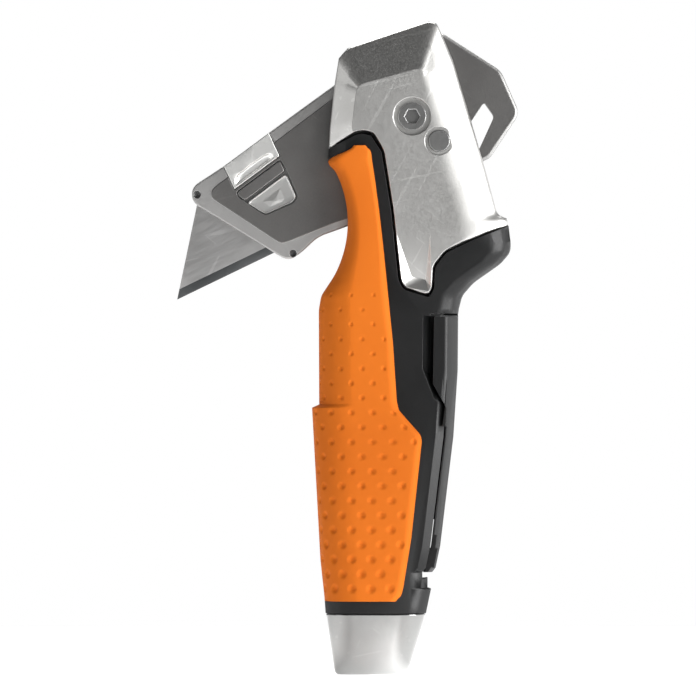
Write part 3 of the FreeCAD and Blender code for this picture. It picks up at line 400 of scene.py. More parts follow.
# The edge tones below paint edge highlights, partly also rubbing: white on the push pad and the bar, pale
# on the cast head, the fasteners and the dark plastic.
CAST = finish("cast_metal", (0.52, 0.515, 0.50), (0.62, 0.615, 0.60), 1.0, (0.30, 0.42), scratches=0.22,
              bump=0.12, rubbed_and_lit_tone=(0.95, 0.95, 0.93), rubbed_and_lit_share=0.7)
CAP = finish("polished_cap", (0.27, 0.27, 0.265), (0.34, 0.34, 0.335), 1.0, (0.10, 0.17), scratches=0.1,
             stretch=(1, 1, 0.08), bump=0.05, rubbed_and_lit_tone=(0.95, 0.95, 0.94), rubbed_and_lit_share=0.3)
BLACK = finish("black_plastic", (0.0045, 0.0047, 0.0049), (0.008, 0.0082, 0.0085), 0.0, (0.30, 0.44),
               grain=4200.0, bump=0.3, rubbed_and_lit_tone=(0.05, 0.05, 0.052), rubbed_and_lit_share=0.5, gloss=0.3)
RUBBER = finish("orange_rubber", (0.56, 0.124, 0.008), (0.63, 0.150, 0.011), 0.0, (0.66, 0.82),
                cloud=25.0, grain=5200.0, bump=0.3, rubbed_and_lit_tone=(0.80, 0.20, 0.03), rubbed_and_lit_share=0.25, gloss=0.15)
PANEL = finish("carrier_panel", (0.125, 0.122, 0.119), (0.155, 0.152, 0.148), 0.85, (0.42, 0.55),
               scratches=0.1, bump=0.2, rubbed_and_lit_tone=(0.55, 0.55, 0.54), rubbed_and_lit_share=0.5)
RIM = finish("carrier_rim", (0.33, 0.326, 0.32), (0.42, 0.416, 0.41), 0.9, (0.36, 0.50), scratches=0.1,
             bump=0.15, rubbed_and_lit_tone=(0.85, 0.85, 0.84), rubbed_and_lit_share=0.5)
LATCH = finish("latch_plate", (0.80, 0.80, 0.78), (0.90, 0.90, 0.88), 1.0, (0.30, 0.42), bump=0.04,
               rubbed_and_lit_tone=(0.97, 0.97, 0.96), rubbed_and_lit_share=0.5)
PAD = finish("push_pad", (0.44, 0.44, 0.43), (0.52, 0.52, 0.51), 0.9, (0.34, 0.46), bump=0.06,
             rubbed_and_lit_tone=(1.0, 1.0, 0.98), rubbed_and_lit_share=1.0, rounding=0.28)
BAR_METAL = finish("release_bar", (0.14, 0.137, 0.134), (0.18, 0.177, 0.173), 0.85, (0.40, 0.50),
                   bump=0.1, rubbed_and_lit_tone=(1.0, 1.0, 0.98), rubbed_and_lit_share=1.0, rounding=0.32)
BLADE = finish("blade_steel", (0.44, 0.435, 0.43), (0.53, 0.525, 0.52), 1.0, (0.28, 0.38), grain=900.0,
               stretch=(0.15, 1.0, 2.2), turn=(0, -BLADE_LEAN, 0), bump=0.1, scratches=0.25)
GROUND = finish("ground_edge", (0.07, 0.074, 0.076), (0.12, 0.124, 0.126), 1.0, (0.30, 0.40), grain=1200.0,
                stretch=(2.2, 1.0, 0.15), turn=(0, -BLADE_LEAN, 0), bump=0.15)
LINER = finish("liner_steel", (0.30, 0.30, 0.30), (0.38, 0.38, 0.38), 1.0, (0.34, 0.46), scratches=0.1)
FASTENER = finish("fastener_steel", (0.19, 0.19, 0.187), (0.26, 0.26, 0.256), 1.0, (0.34, 0.46), bump=0.12,
                  rubbed_and_lit_tone=(0.95, 0.95, 0.94), rubbed_and_lit_share=0.9)
DARK_STEEL = finish("rivet_steel", (0.05, 0.05, 0.05), (0.08, 0.08, 0.08), 0.8, (0.4, 0.5))
SPRING = finish("spring_steel", (0.45, 0.45, 0.44), (0.55, 0.55, 0.54), 1.0, (0.22, 0.32))
print("finishes:", len(bpy.data.materials))

# %% [markdown]
# ## Parts that keep their CAD shape
# Liners, washers, screws, pins and the spare blades are already the right shape, and they
# show only at their ends or when the knife is opened. They keep their CAD mesh and only
# take a finish.

# %% Finishes for the carried-over nodes
KEPT = [
    (LINER, ["liner_front", "liner_rear"]), (SPRING, ["pivot_washer_front", "pivot_washer_rear"]),
    (FASTENER, ["pivot_bolt", "pivot_sleeve", "lock_button", "lock_cap", "cap_pin", "door_pin",
                "heel_screw", "lower_screw"]),
    (BLADE, [f"spare_blade_{number}" for number in (1, 2, 3, 4)]),
]
for kept_finish, kept_names in KEPT:
    for kept_name in kept_names:
        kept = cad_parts[kept_name].data.materials
        kept.clear()
        kept.append(kept_finish)
    print(kept_finish.name, "on", len(kept_names), "kept nodes")

# %% [markdown]
# ## The springs
# A coil spring sits under the lock button and another under the push pad. Rigid copies
# would be cut by their buttons, and bending the wire would need a rig. Each coil here
# stays a rigid welded copy of its CAD coil.


def spring_piece(name, node, body):
    """A welded copy of a coil, put on its body in place of its CAD node."""
    piece = cad_copy(name, node, WELD / 2)
    fitted(piece, body, "spring_steel", SPRING, node)
    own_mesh(piece)


spring_piece("lock_coil", "lock_spring", "handle")
spring_piece("release_coil", "release_spring", "carrier")

# %% [markdown]
# ## The cast head
# Each side of the head is a cast cheek. A broad facet falls to the top, a narrower one to
# the front, and the back turns away softly. Low down it ends in a tongue with a sunk
# thumb mark. It could be a box with cut corners, but those cuts would all be equally
# sharp. Rings carry the shape instead: the rim, the middle of the facets and the flat
# face. The middle ring bulges only at the back, so that side turns softly and the
# others stay flat. Blind wells for the pivot and the button are cut out afterwards.

# %% Head outline
# x, z, how far the point moves in on the way to the flat face, how much it bulges
HEAD = np.array([
    (-10.8, 131.15, 5.9, 4.0, 0), (-4.1, 134.6, 0.2, 1.0, 0), (-2.4, 134.9, 0.3, 1.0, 0),
    (-0.25, 134.35, 0.7, 1.0, 0), (2.3, 130.4, 0.8, 0.3, 0), (4.7, 116.0, 0.7, 0.1, 0),
    (6.5, 98.5, 0.8, 0.2, 0), (7.7, 96.1, 0.5, 0.7, 0), (14.1, 94.1, -0.3, 0.8, 0),
    (15.5, 96.1, -0.7, 0.4, 0), (15.7, 101.7, -0.7, 0.3, 0), (18.5, 105.25, -0.4, 0.6, 0),
    (25.25, 108.5, -3.9, -1.1, 0.6), (34.05, 112.0, -10.7, -3.4, 1), (33.65, 113.8, -10.6, -2.7, 1),
    (31.25, 114.8, -8.6, -1.2, 1), (28.25, 126.0, -9.0, -1.6, 1), (24.75, 138.0, -8.2, -1.8, 1),
    (20.1, 153.5, -6.3, -5.6, 0.7), (16.2, 162.4, -3.8, -11.4, 0.1), (14.15, 163.0, -2.8, -11.9, 0),
    (-6.15, 156.25, 3.9, -8.8, 0), (-8.3, 153.8, 5.2, -6.9, 0), (-9.35, 147.25, 5.3, -1.6, 0),
    (-10.6, 136.0, 5.5, 1.2, 0),
])
HEAD_BACK, HEAD_RIM, HEAD_FACE = 5.0, 7.0, 11.0  # depths from the mid-plane
WELL_FLOOR, HEEL_FLOOR, BUTTON_FLOOR, RING_FLOOR = 9.2, 8.8, 4.0, 10.4
RECESS_R, LID_R, RING_R, BUTTON_WELL_R, HEEL_R = 4.6, 3.75, 3.5, 2.68, 2.3
THUMB_DEEP, HEAD_CORNER = 1.3, 1.3
FLAT_IN, FLAT_IN_BACK = 0.3, 3.6  # from the face's edge to where it is flat
PROUD = 0.4  # how far a cutter starts outside the face
print("corners of the head:", len(HEAD))

# %% Head cutters


def well(name, centre, radius, floor, side, lip=0.2):
    """Cutter for a round blind hole with a small chamfer at the face."""
    steps = [(radius + lip + PROUD, HEAD_FACE + PROUD), (radius + lip, HEAD_FACE),
             (radius, HEAD_FACE - lip), (radius, floor)]
    return ring_piece(name, stacked(side, *[(circle(centre, r), depth) for r, depth in steps]))


def thumb_mark(side):
    """Cutter for the sunk mark: level with the face at its top, deep at its foot."""
    face = [(5.9, 110.5), (7.3, 98.0), (8.5, 96.6), (14.1, 95.7), (14.75, 96.8), (14.5, 110.0)]
    floor = [(9.9, 99.3), (13.3, 98.5)]
    high = [(x, side * (HEAD_FACE + 0.3), z) for x, z in face]
    edge = [(x, side * (HEAD_FACE + 0.01), z) for x, z in face]
    deep = [(x, side * (HEAD_FACE - THUMB_DEEP), z) for x, z in floor]
    return hull_piece("thumb_cut", high + edge + deep)


# %% Head cheeks


def head_cheek(name, side, wells, *nodes):
    """Rings: back, rim, middle of the facets, edge of the face, and a flat ring further
    along each facet's own fall line, which is much further in at the back. The middle
    ring's depth is halfway up the facet plus a share of its bulge."""
    rim = eased_loop(HEAD[:, [0, 1, 4]], HEAD_CORNER, 9, 4)
    corners, fall = HEAD[:, :2] + HEAD[:, 2:4], HEAD[:, 2:4]
    onward = fall / np.linalg.norm(fall, axis=1, keepdims=True) * (FLAT_IN + FLAT_IN_BACK * HEAD[:, 4:5])
    face, flat = eased_loop(corners, HEAD_CORNER, 9, 4), eased_loop(corners + onward, HEAD_CORNER, 9, 4)
    bulge = rim[:, 2]
    middle = (rim[:, :2] + face) / 2
    middle_depth = (HEAD_RIM + HEAD_FACE) / 2 + 0.85 * bulge
    rings = stacked(side, (rim, HEAD_BACK), (rim, HEAD_RIM), (middle, middle_depth),
                    (face, HEAD_FACE), (flat, HEAD_FACE))
    reach = np.stack([0.45 + 0.9 * bulge, 0.3 + 2.4 * bulge, 0.12 + 3.6 * bulge])
    piece = ring_piece(name, eased_rings(rings, reach, 6))
    carved(piece, [thumb_mark(side)] + wells)
    return fitted(smoothed(piece, 16.0, True), "handle", "cast_metal", CAST, *nodes)


front_wells = [well("pivot_well", PIVOT, RECESS_R, WELL_FLOOR, FRONT),
               well("ring_well", LOCK, RING_R, RING_FLOOR, FRONT, 0.12),
               well("button_well", LOCK, BUTTON_WELL_R, BUTTON_FLOOR, FRONT, 0.0)]
head_cheek("head_cheek_front", FRONT, front_wells, "head_plate_front")
rear_wells = [well("flange_well", PIVOT, RECESS_R, WELL_FLOOR, REAR),
              well("lid_well", LOCK, LID_R, WELL_FLOOR, REAR),
              well("heel_well", centre_of("heel_screw"), HEEL_R, HEEL_FLOOR, REAR, 0.1)]
head_cheek("head_cheek_rear", REAR, rear_wells, "head_plate_rear")

# %% [markdown]
# ## The rubber grip
# Soft rubber is moulded over the black core. Each side is one skin that starts at the
# finger side, rolls over to a nearly flat face and drops at the back seam with a short
# lip. It could be sculpted, but a grid is exact: one parameter is the height, the other
# runs round the section. The dimples are a lattice worked out from the same grid and
# pushed in along the surface normal, so they wrap round the rolled edge like real ones.

# %% Grip outlines
FINGER_LINE = np.array([  # z, x, share of the roll
    (18.35, -11.8, 1.0), (28.5, -12.9, 1.0), (66.6, -15.0, 1.0), (67.4, -13.2, 1.0), (91.0, -13.3, 1.0),
    (94.55, -12.7, 0.9), (99.15, -9.65, 0.6), (125.9, -9.3, 0.35), (127.3, -11.0, 0.35),
    (128.7, -11.0, 0.35), (131.8, -4.1, 0.05), (132.1, -2.8, 0.0),
])
SEAM_LINE = np.array([  # z, x
    (18.35, 5.9), (19.0, 7.1), (19.8, 7.8), (21.6, 8.3), (34.0, 10.3), (58.4, 12.95), (59.9, 12.6),
    (66.0, 7.2), (68.2, 6.7), (82.55, 5.75), (98.5, 4.15), (116.0, 2.05), (127.8, 0.5), (130.2, 0.1),
    (131.2, -0.5), (131.8, -1.6), (132.1, -2.8),
])
GROOVE_LOW, GROOVE_HIGH, GROOVE_R = 99.15, 125.9, 28.0
CHANNEL_FLOOR, SLOT = 67.9, 3.8
GRIP_FACE, GRIP_WALL = 12.2, 1.5
LOW_DIMPLE, TOP_DIMPLE, ROW_STEP, LAST_ROW = 21.0, 94.7, 3.66, 20
SKIN_LOW, SKIN_HIGH, SKIN_ROWS, SKIN_POINTS = 18.35, 131.98, 425, 125
STEP, STEP_HALF = 67.0, 2.5  # the step above the lower grip stays sharp
EXTRA_ROWS = [66.6, 66.95, 67.4, CHANNEL_FLOOR, CHANNEL_FLOOR + 0.05]
print("rows of dimples:", LAST_ROW + 1)

# %% Curves for the grip


def clamped_quadratic(count, samples):
    """Basis of a quadratic B-spline that starts and ends on its outer control points,
    worked out with the usual recursion on the knots, as a (samples, count) array."""
    knots = np.concatenate([[0, 0], np.linspace(0, 1, count - 1), [1, 1]])
    t = np.linspace(0, 1 - TINY, samples)[:, None]
    basis = ((t >= knots[None, :-1]) & (t < knots[None, 1:])).astype(float)
    for degree in (1, 2):
        left, right = knots[:-degree - 1], knots[degree:-1]
        span = np.where(right > left, right - left, 1)
        rising = np.where(right > left, (t - left) / span, 0) * basis[:, :-1]
        left, right = knots[1:-degree], knots[degree + 1:]
        span = np.where(right > left, right - left, 1)
        falling = np.where(right > left, (right - t) / span, 0) * basis[:, 1:]
        basis = rising + falling
    return basis


def averaged(values, z, width):
    """Each value becomes the mean of its neighbours within width, which eases corners."""
    fine = np.linspace(z[0], z[-1], 4000)
    run = np.concatenate([[0], np.cumsum(np.interp(fine, z, values))])
    half = max(1, int(width / (fine[1] - fine[0]) / 2))
    index = np.arange(len(fine))
    low, high = np.maximum(index - half, 0), np.minimum(index + half, len(fine) - 1) + 1
    return np.interp(z, fine, (run[high] - run[low]) / (high - low))


# %% Dimples and skin


def dimple_depth(along, z, seam):
    """Staggered dimples: rows evenly spaced in height, each offset by half a pitch from
    the last, the pitch and the radius changing with height. A dimple is a smooth bowl."""
    row = np.round((TOP_DIMPLE - z) / ROW_STEP)
    centre_z = TOP_DIMPLE - ROW_STEP * row
    span = [LOW_DIMPLE, TOP_DIMPLE]
    pitch = np.interp(centre_z, span, [4.75, 5.64])
    first = np.interp(centre_z, span, [-0.3, 0.35]) + np.where(row % 2 == 1, pitch / 2, 0)
    centre = first + pitch * np.round((along - first) / pitch)
    radius = np.interp(centre_z, [LOW_DIMPLE, 30.0, 60.0, TOP_DIMPLE], [1.25, 1.2, 0.88, 0.5])
    away = np.hypot(along - centre, z - centre_z) / radius
    bowl = np.maximum(1 - away ** 2, 0) ** 1.5 * (radius * 0.36 + 0.14)
    allowed = (row >= 0) & (row <= LAST_ROW) & (centre < seam - 1.3 - radius)
    return np.where(allowed, bowl, 0.0)


def paired(z, points):
    """Points (x, depth), each a number or one value per height, as (rows, points, 2)."""
    pairs = [np.stack(np.broadcast_arrays(x, depth + 0 * z), axis=-1) for x, depth in points]
    return np.stack(pairs, axis=1)


def grip_skin(name, side, *nodes):
    """Section at height z: nine control points from the slot round to the back seam,
    blended by the B-spline. The inner half of each closed section is a plain return."""
    z = np.union1d(np.linspace(SKIN_LOW, SKIN_HIGH, SKIN_ROWS), EXTRA_ROWS)
    finger = np.interp(z, FINGER_LINE[:, 0], FINGER_LINE[:, 1])
    groove_mid = (GROOVE_LOW + GROOVE_HIGH) / 2
    sagitta = np.sqrt(np.maximum(GROOVE_R ** 2 - (z - groove_mid) ** 2, 0))
    deepest = math.sqrt(GROOVE_R ** 2 - (groove_mid - GROOVE_LOW) ** 2)
    finger = np.where((z > GROOVE_LOW) & (z < GROOVE_HIGH), finger + sagitta - deepest, finger)
    finger = np.where(abs(z - STEP) < STEP_HALF, finger, averaged(finger, z, 1.8))
    share = averaged(np.interp(z, FINGER_LINE[:, 0], FINGER_LINE[:, 2]), z, 4.0)
    seam = averaged(np.interp(z, SEAM_LINE[:, 0], SEAM_LINE[:, 1]), z, 1.2)
    start = np.where(z > CHANNEL_FLOOR, SLOT, 0.0)
    narrow = np.clip((seam - finger) / 14.0, 0.0, 1.0)
    centre = (finger + seam) / 2
    controls = paired(z, [
        (finger, start), (finger, 6.4), (finger + 2.6 * share * narrow, 10.2),
        (finger + 7.0 * share * narrow, GRIP_FACE - 0.12), (centre, GRIP_FACE),
        (seam - 3.4 * narrow, GRIP_FACE - 0.02), (seam - 1.5 * narrow, GRIP_FACE - 0.1),
        (seam - 0.5 * narrow, 10.7), (seam - 0.35 * narrow, 10.0),
    ])
    skin = np.einsum("sc,rcd->rsd", clamped_quadratic(controls.shape[1], SKIN_POINTS), controls)
    x, depth = skin[..., 0], skin[..., 1]
    step = np.hypot(np.diff(x, axis=1), np.diff(depth, axis=1))
    along = np.concatenate([np.zeros((len(z), 1)), np.cumsum(step, axis=1)], axis=1)
    reference = np.argmin(abs(x - centre[:, None]), axis=1)
    rows = np.arange(len(z))
    along = along - along[rows, reference][:, None] + x[rows, reference][:, None]
    across = np.gradient(x, axis=1), np.gradient(depth, axis=1)
    length = np.hypot(*across) + TINY
    push = dimple_depth(along, np.broadcast_to(z[:, None], x.shape), seam[:, None])
    x, depth = x + across[1] / length * push, depth - across[0] / length * push
    back = paired(z, [
        (seam - 0.8 * narrow, 10.0), (centre, 10.2), (finger + (6.6 * share + GRIP_WALL) * narrow, 10.0),
        (finger + (2.6 * share + GRIP_WALL) * narrow, 8.4), (finger + GRIP_WALL * narrow, 5.6),
        (finger + GRIP_WALL * narrow, start),
    ])
    x = np.concatenate([x, back[..., 0]], axis=1)
    depth = np.concatenate([depth, back[..., 1]], axis=1)
    rings = np.stack([x, side * depth, np.broadcast_to(z[:, None], x.shape)], axis=-1)
    return fitted(smoothed(ring_piece(name, rings), 50.0), "handle", "orange_rubber", RUBBER, *nodes)


grip_skin("grip_skin_front", FRONT, "grip_front")
grip_skin("grip_skin_rear", REAR, "grip_rear")

# %% [markdown]
# ## The black plastic
# The frame halves and the storage door are moulded in one stiff black plastic. Their CAD
# shape is right, but the long moulded edges are really soft radii. Redrawing so many
# pockets would gain nothing, so a welded copy of each takes a Bevel on its long shallow
# edges, away from the small details. The scoop beside the door and the gap above it are
# cut first.

# %% Which edges are soft
SHORTEST, NARROWEST = 0.8, 1.1  # of an edge and a face that get a radius
SHALLOW, STEEP = 6.0, 66.0  # degrees between the two faces
SOFT_HEIGHTS = (60.0, 108.0)  # between the door's notch and the heel
FRAME_RADIUS, DOOR_RADIUS = 0.9, 0.7
DOOR_TOP, GAP = 89.6, 0.5


def mark_soft_edges(mesh, low, high):
    """Marks the edges to round, between two heights in millimetres. Between two wide faces
    a shallow edge is a moulded curve; narrow faces belong to round holes and get none."""
    work = bmesh.new()
    work.from_mesh(mesh)
    weight = work.edges.layers.float.new("bevel_weight_edge")
    breadth = {}
    for face in work.faces:
        breadth[face] = face.calc_area() / max(edge.calc_length() for edge in face.edges)
    marked = 0
    for edge in work.edges:
        if len(edge.link_faces) != 2 or edge.calc_length() < SHORTEST * MM:
            continue
        angle = math.degrees(edge.calc_face_angle(0.0))
        if not all(low * MM < corner.co.z < high * MM for corner in edge.verts):
            continue
        if min(breadth[face] for face in edge.link_faces) > NARROWEST * MM and SHALLOW < angle < STEEP:
            edge[weight] = 1.0
            marked += 1
    work.to_mesh(mesh)
    work.free()
    return marked


# %% Softened copies


def softened(name, node, body, width, cutters=()):
    """A welded copy of a CAD node with flat areas joined up, cut, and then bevelled."""
    piece = cad_copy(name, node, 5 * WELD, 0.6)
    if cutters:
        carved(piece, cutters)
    marked = mark_soft_edges(piece.data, *SOFT_HEIGHTS)
    print(name, "edges to round:", marked)
    bevel = piece.modifiers.new("moulded_edges", "BEVEL")
    bevel.width, bevel.segments = width * MM, 3
    bevel.limit_method = "WEIGHT"
    bevel.use_clamp_overlap = False
    bevel.harden_normals = True
    smoothed(piece, 35.0)
    return fitted(piece, body, "black_plastic", BLACK, node)


def thumb_scoop(side):
    """Cutter beside the door's wing: shallow at its left edge, deep at the wing."""
    outside, rim_depth, floor = 11.2, 10.55, 8.6
    edge = [(12.7, DOOR_TOP), (12.6, 76.3), (15.4, 69.0), (18.4, 65.8)]
    deep = [(14.6, DOOR_TOP), (15.6, DOOR_TOP), (14.4, 75.5), (15.3, 72.6)]
    high = [(x, side * outside, z) for x, z in edge + deep]
    rim = [(x, side * rim_depth, z) for x, z in edge]
    low = [(x, side * floor, z) for x, z in deep]
    return hull_piece("scoop_cut", high + rim + low)


def door_gap(side):
    """Cutter for the thin open gap above the door."""
    left, right = 14.5, 27.0
    corners = [(left, DOOR_TOP), (right, DOOR_TOP), (right, DOOR_TOP + GAP), (left, DOOR_TOP + GAP)]
    return prism_piece("gap_cut", corners, 0.3, 12.0, side)


# %% Frame halves and door
for end, side in (("front", FRONT), ("rear", REAR)):
    cuts = [thumb_scoop(side), door_gap(side)]
    softened(f"frame_half_{end}", f"frame_{end}", "handle", FRAME_RADIUS, cuts)
softened("door_shell", "storage_door", "door", DOOR_RADIUS)

# %% [markdown]
# ## The pommel cap
# A solid metal cap closes the handle and is used for striking. It is turned and polished,
# and tapers from the oval of the handle to a smaller oval foot. Spinning a profile would
# make it round, so rings carry the handle's own twelve-sided oval, with eased corners,
# down to the foot.

# %% Cap
cap_low, cap_high = [np.array(corner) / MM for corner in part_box("pommel_cap")]
OVAL_HALF = 10.6


def cap_oval(left, right, half):
    """Twelve corners of the handle's section between left and right, eased."""
    rear = [(left, 6.0), (left + 1.8, 9.0), (left + 4.5, OVAL_HALF), (right - 4.5, OVAL_HALF),
            (right - 1.8, 9.0), (right, 6.0)]
    rear = [(x, y * half / OVAL_HALF) for x, y in rear]
    return eased_loop(rear + [(x, -y) for x, y in rear[::-1]], 2.4, 7, 4)


def cap_ring(z, left, right, half):
    """The oval, laid flat at height z."""
    oval = cap_oval(left, right, half)
    return np.stack([oval[:, 0], oval[:, 1], np.full(len(oval), z)], axis=1)


top = cap_high[2]
cap_rings = [cap_ring(0.0, -7.6, 7.4, 6.9), cap_ring(0.0, -8.9, 8.7, 8.1), cap_ring(0.7, -9.42, 9.22, 8.6),
             cap_ring(top - 0.35, cap_low[0] + 0.05, cap_high[0] - 0.1, 10.55),
             cap_ring(top, cap_low[0] + 0.3, cap_high[0] - 0.35, 10.3),
             cap_ring(top, cap_low[0] + 2.0, cap_high[0] - 2.0, 8.6)]
cap = ring_piece("striking_cap", eased_rings(cap_rings, [0.5, 0.6, 0.2, 0.15], 5))
fitted(smoothed(cap, 40.0), "handle", "cap_metal", CAP, "pommel_cap")

# %% [markdown]
# ## The blade carrier
# Two cast plates hold the blade. Each has a coated dark panel inside a lighter bevelled
# rim, broad at the nose and only a fine chamfer on the tang. A Bevel has one width, and
# this rim changes from corner to corner, so rim and panel are one stack of rings with two
# finishes. The slot for the lock, the bore for the pivot, the window, and on the front
# the pockets of the release are cut out.

# %% Carrier outlines
# outline x, z, then the same corner of the dark panel
CARRIER = np.array([
    (-44.9, 117.85, -40.1, 119.1), (-20.95, 103.15, -22.9, 107.75), (-17.4, 105.5, -21.2, 108.1),
    (-13.7, 109.2, -14.6, 110.8), (-8.9, 110.9, -9.3, 112.9), (8.5, 117.5, 8.1, 118.6),
    (27.65, 128.1, 27.3, 128.8), (29.6, 129.05, 29.0, 129.7), (36.25, 139.1, 35.6, 139.4),
    (36.5, 141.0, 35.8, 140.9), (32.7, 149.6, 32.1, 149.2), (31.7, 151.05, 31.3, 150.5),
    (17.6, 160.15, 17.3, 159.5), (10.5, 160.15, 10.7, 159.5), (5.0, 157.6, 5.6, 155.0),
    (-9.35, 147.2, -8.2, 144.9), (-25.7, 135.3, -24.4, 132.7), (-37.05, 126.9, -35.8, 124.2),
    (-45.0, 121.7, -39.9, 121.1),
])
CARRIER_FACE, PANEL_FOOT, CARRIER_EDGE = 3.5, 3.3, 3.22
PANEL_RINGS = 6  # the last rings, from the foot of the panel on
INSIDE, OUTSIDE = -1.0, 6.0  # a through cutter runs past both faces
BORE_R, RIVET_R, SLOT_HALF = 3.06, 0.95, 1.95
FOLD_BACK, FOLD_ON, SPARE_TURN = 53.5, 114.5, 12.0  # degrees
WINDOW = [(26.8, 131.2), (30.5, 139.3), (28.0, 142.9), (24.75, 138.0), (23.3, 135.2), (23.6, 132.3),
          (25.6, 130.6)]
COVER = np.array([(-37.25, 126.95), (-34.4, 120.85), (-22.85, 129.4), (-25.7, 135.5)])
RELEASE = [(-34.0, 120.4), (-33.4, 119.1), (-31.8, 118.0), (-27.5, 115.05), (-26.5, 114.7), (-19.65, 117.7),
           (-18.5, 119.25), (-21.2, 125.6), (-22.9, 128.7)]
print("corners of the carrier:", len(CARRIER))

# %% Carrier plates


def lock_slot(side):
    """Cutter for the arc that the lock's stem runs in: two arcs round the pivot."""
    reach = math.hypot(LOCK[0] - PIVOT[0], LOCK[1] - PIVOT[1])
    middle = math.degrees(math.atan2(LOCK[1] - PIVOT[1], LOCK[0] - PIVOT[0]))
    ends = middle - FOLD_BACK - SPARE_TURN, middle + FOLD_ON + SPARE_TURN
    angle = np.radians(np.linspace(*ends, 60))
    arc = np.stack([np.cos(angle), np.sin(angle)], axis=1)
    loop = np.concatenate([arc * (reach + SLOT_HALF), arc[::-1] * (reach - SLOT_HALF)])
    return prism_piece("lock_slot", loop + np.array(PIVOT), INSIDE, OUTSIDE, side)


def carrier_plate(name, side, pockets, *nodes):
    """Rings: mid-plane, top of the wall, chamfer, foot of the raised panel, its edge and
    its face."""
    reach = np.full(len(CARRIER), 1.2)
    reach[[0, 18]], reach[[1, 2]] = 2.2, 2.6
    reach[[3, 5]] = 3.5, 8.0
    outline = eased_loop(CARRIER[:, :2], reach, 9, 3)
    panel = eased_loop(CARRIER[:, 2:], reach * 0.6, 9, 3)
    rings = stacked(side, (outline, 0.02), (outline, CARRIER_EDGE - 0.4),
                    (drawn_in(outline, 0.25), CARRIER_EDGE), (drawn_in(panel, -0.12), PANEL_FOOT),
                    (panel, CARRIER_FACE), (drawn_in(panel, 0.12), CARRIER_FACE))
    rings = eased_rings(rings, [0.3, 0.3, 0.04, 0.04], 4)
    piece = ring_piece(name, rings)
    two_finishes(piece, RIM, PANEL, slice(len(outline) * (len(rings) - PANEL_RINGS), None))
    holes = [circle(PIVOT, BORE_R), eased_loop(WINDOW, 0.8, 5, 2)]
    holes += [circle(centre_of(rivet), RIVET_R, 32) for rivet in ("nose_rivet", "lower_rivet")]
    cutters = [prism_piece("hole", hole, INSIDE, OUTSIDE, side) for hole in holes]
    cutters.insert(1, lock_slot(side))
    carved(piece, cutters + pockets)
    return fitted(smoothed(piece, 16.0, True), "carrier", "carrier_metal", None, *nodes)


front_pockets = [
    prism_piece("cover_pocket", eased_loop(COVER, 0.15, 3, 1), 2.3, OUTSIDE, FRONT),
    prism_piece("release_pocket", eased_loop(RELEASE, 0.5, 4, 1), 0.95, OUTSIDE, FRONT),
]
carrier_plate("carrier_plate_front", FRONT, front_pockets, "carrier_front")
carrier_plate("carrier_plate_rear", REAR, [], "carrier_rear")

# %% [markdown]
# ## The blade release
# Above the push pad sits a bright latch plate with a polished thumb scoop. The pad itself
# is a frame round a sunk field with a small pyramid, its edges lit by a painted highlight,
# and a dark bar with painted pale edges lies between them. Plate and pad are rings again.
# Shrinking a ring towards its centre and changing its depth is enough to draw a frame, a slope and a
# pyramid.

# %% Latch plate
SCOOP = [(-34.1, 121.95), (-24.4, 129.2), (-25.35, 130.15), (-26.85, 129.75), (-33.6, 124.75),
         (-34.2, 123.7)]


def shrunk(loop, share):
    """The loop drawn towards its own centre by a share of the distance."""
    loop = np.asarray(loop, float)
    return loop.mean(axis=0) + (loop - loop.mean(axis=0)) * share


def around(loop, centre, count=180):
    """The loop measured again by angle: its distance from the centre in evenly spaced
    directions. Two loops measured from one centre pair up point by point."""
    offset = np.asarray(loop, float)[:, :2] - centre
    angle, distance = np.arctan2(offset[:, 1], offset[:, 0]), np.hypot(offset[:, 0], offset[:, 1])
    order = np.argsort(angle)
    turn = np.linspace(-math.pi, math.pi, count, endpoint=False)
    radius = np.interp(turn, angle[order], distance[order], period=2 * math.pi)
    return centre + np.stack([np.cos(turn), np.sin(turn)], axis=1) * radius[:, None]


scoop_loop = eased_loop(SCOOP, 1.1, 8, 6)
scoop_centre = scoop_loop.mean(axis=0)
scoop = around(scoop_loop, scoop_centre)
cover = around(eased_loop(COVER, 0.3, 5, 30), scoop_centre)
cover_rings = stacked(FRONT, (drawn_in(cover, 0.2), 2.32), (drawn_in(cover, 0.2), 3.42),
                      (drawn_in(cover, 0.32), 3.54), (drawn_in(scoop, -0.1), 3.54),
                      (shrunk(scoop, 0.97), 3.35), (shrunk(scoop, 0.85), 2.85), (shrunk(scoop, 0.5), 2.7))
latch = ring_piece("latch_cover", eased_rings(cover_rings, [0.05, 0.05, 0.1, 0.1, 0.5], 4))
fitted(smoothed(latch, 25.0, True), "carrier", "latch_metal", LATCH, "release_plate")

# %% Push pad and bar
PUSH_PAD = [(-31.45, 117.65), (-27.4, 115.2), (-26.5, 114.9), (-19.8, 117.9), (-18.75, 119.3),
            (-21.4, 125.2)]
BAR = [(-33.85, 120.3), (-33.2, 119.25), (-31.75, 118.15), (-21.6, 125.75), (-23.0, 128.4)]
PAD_BACK = 1.86
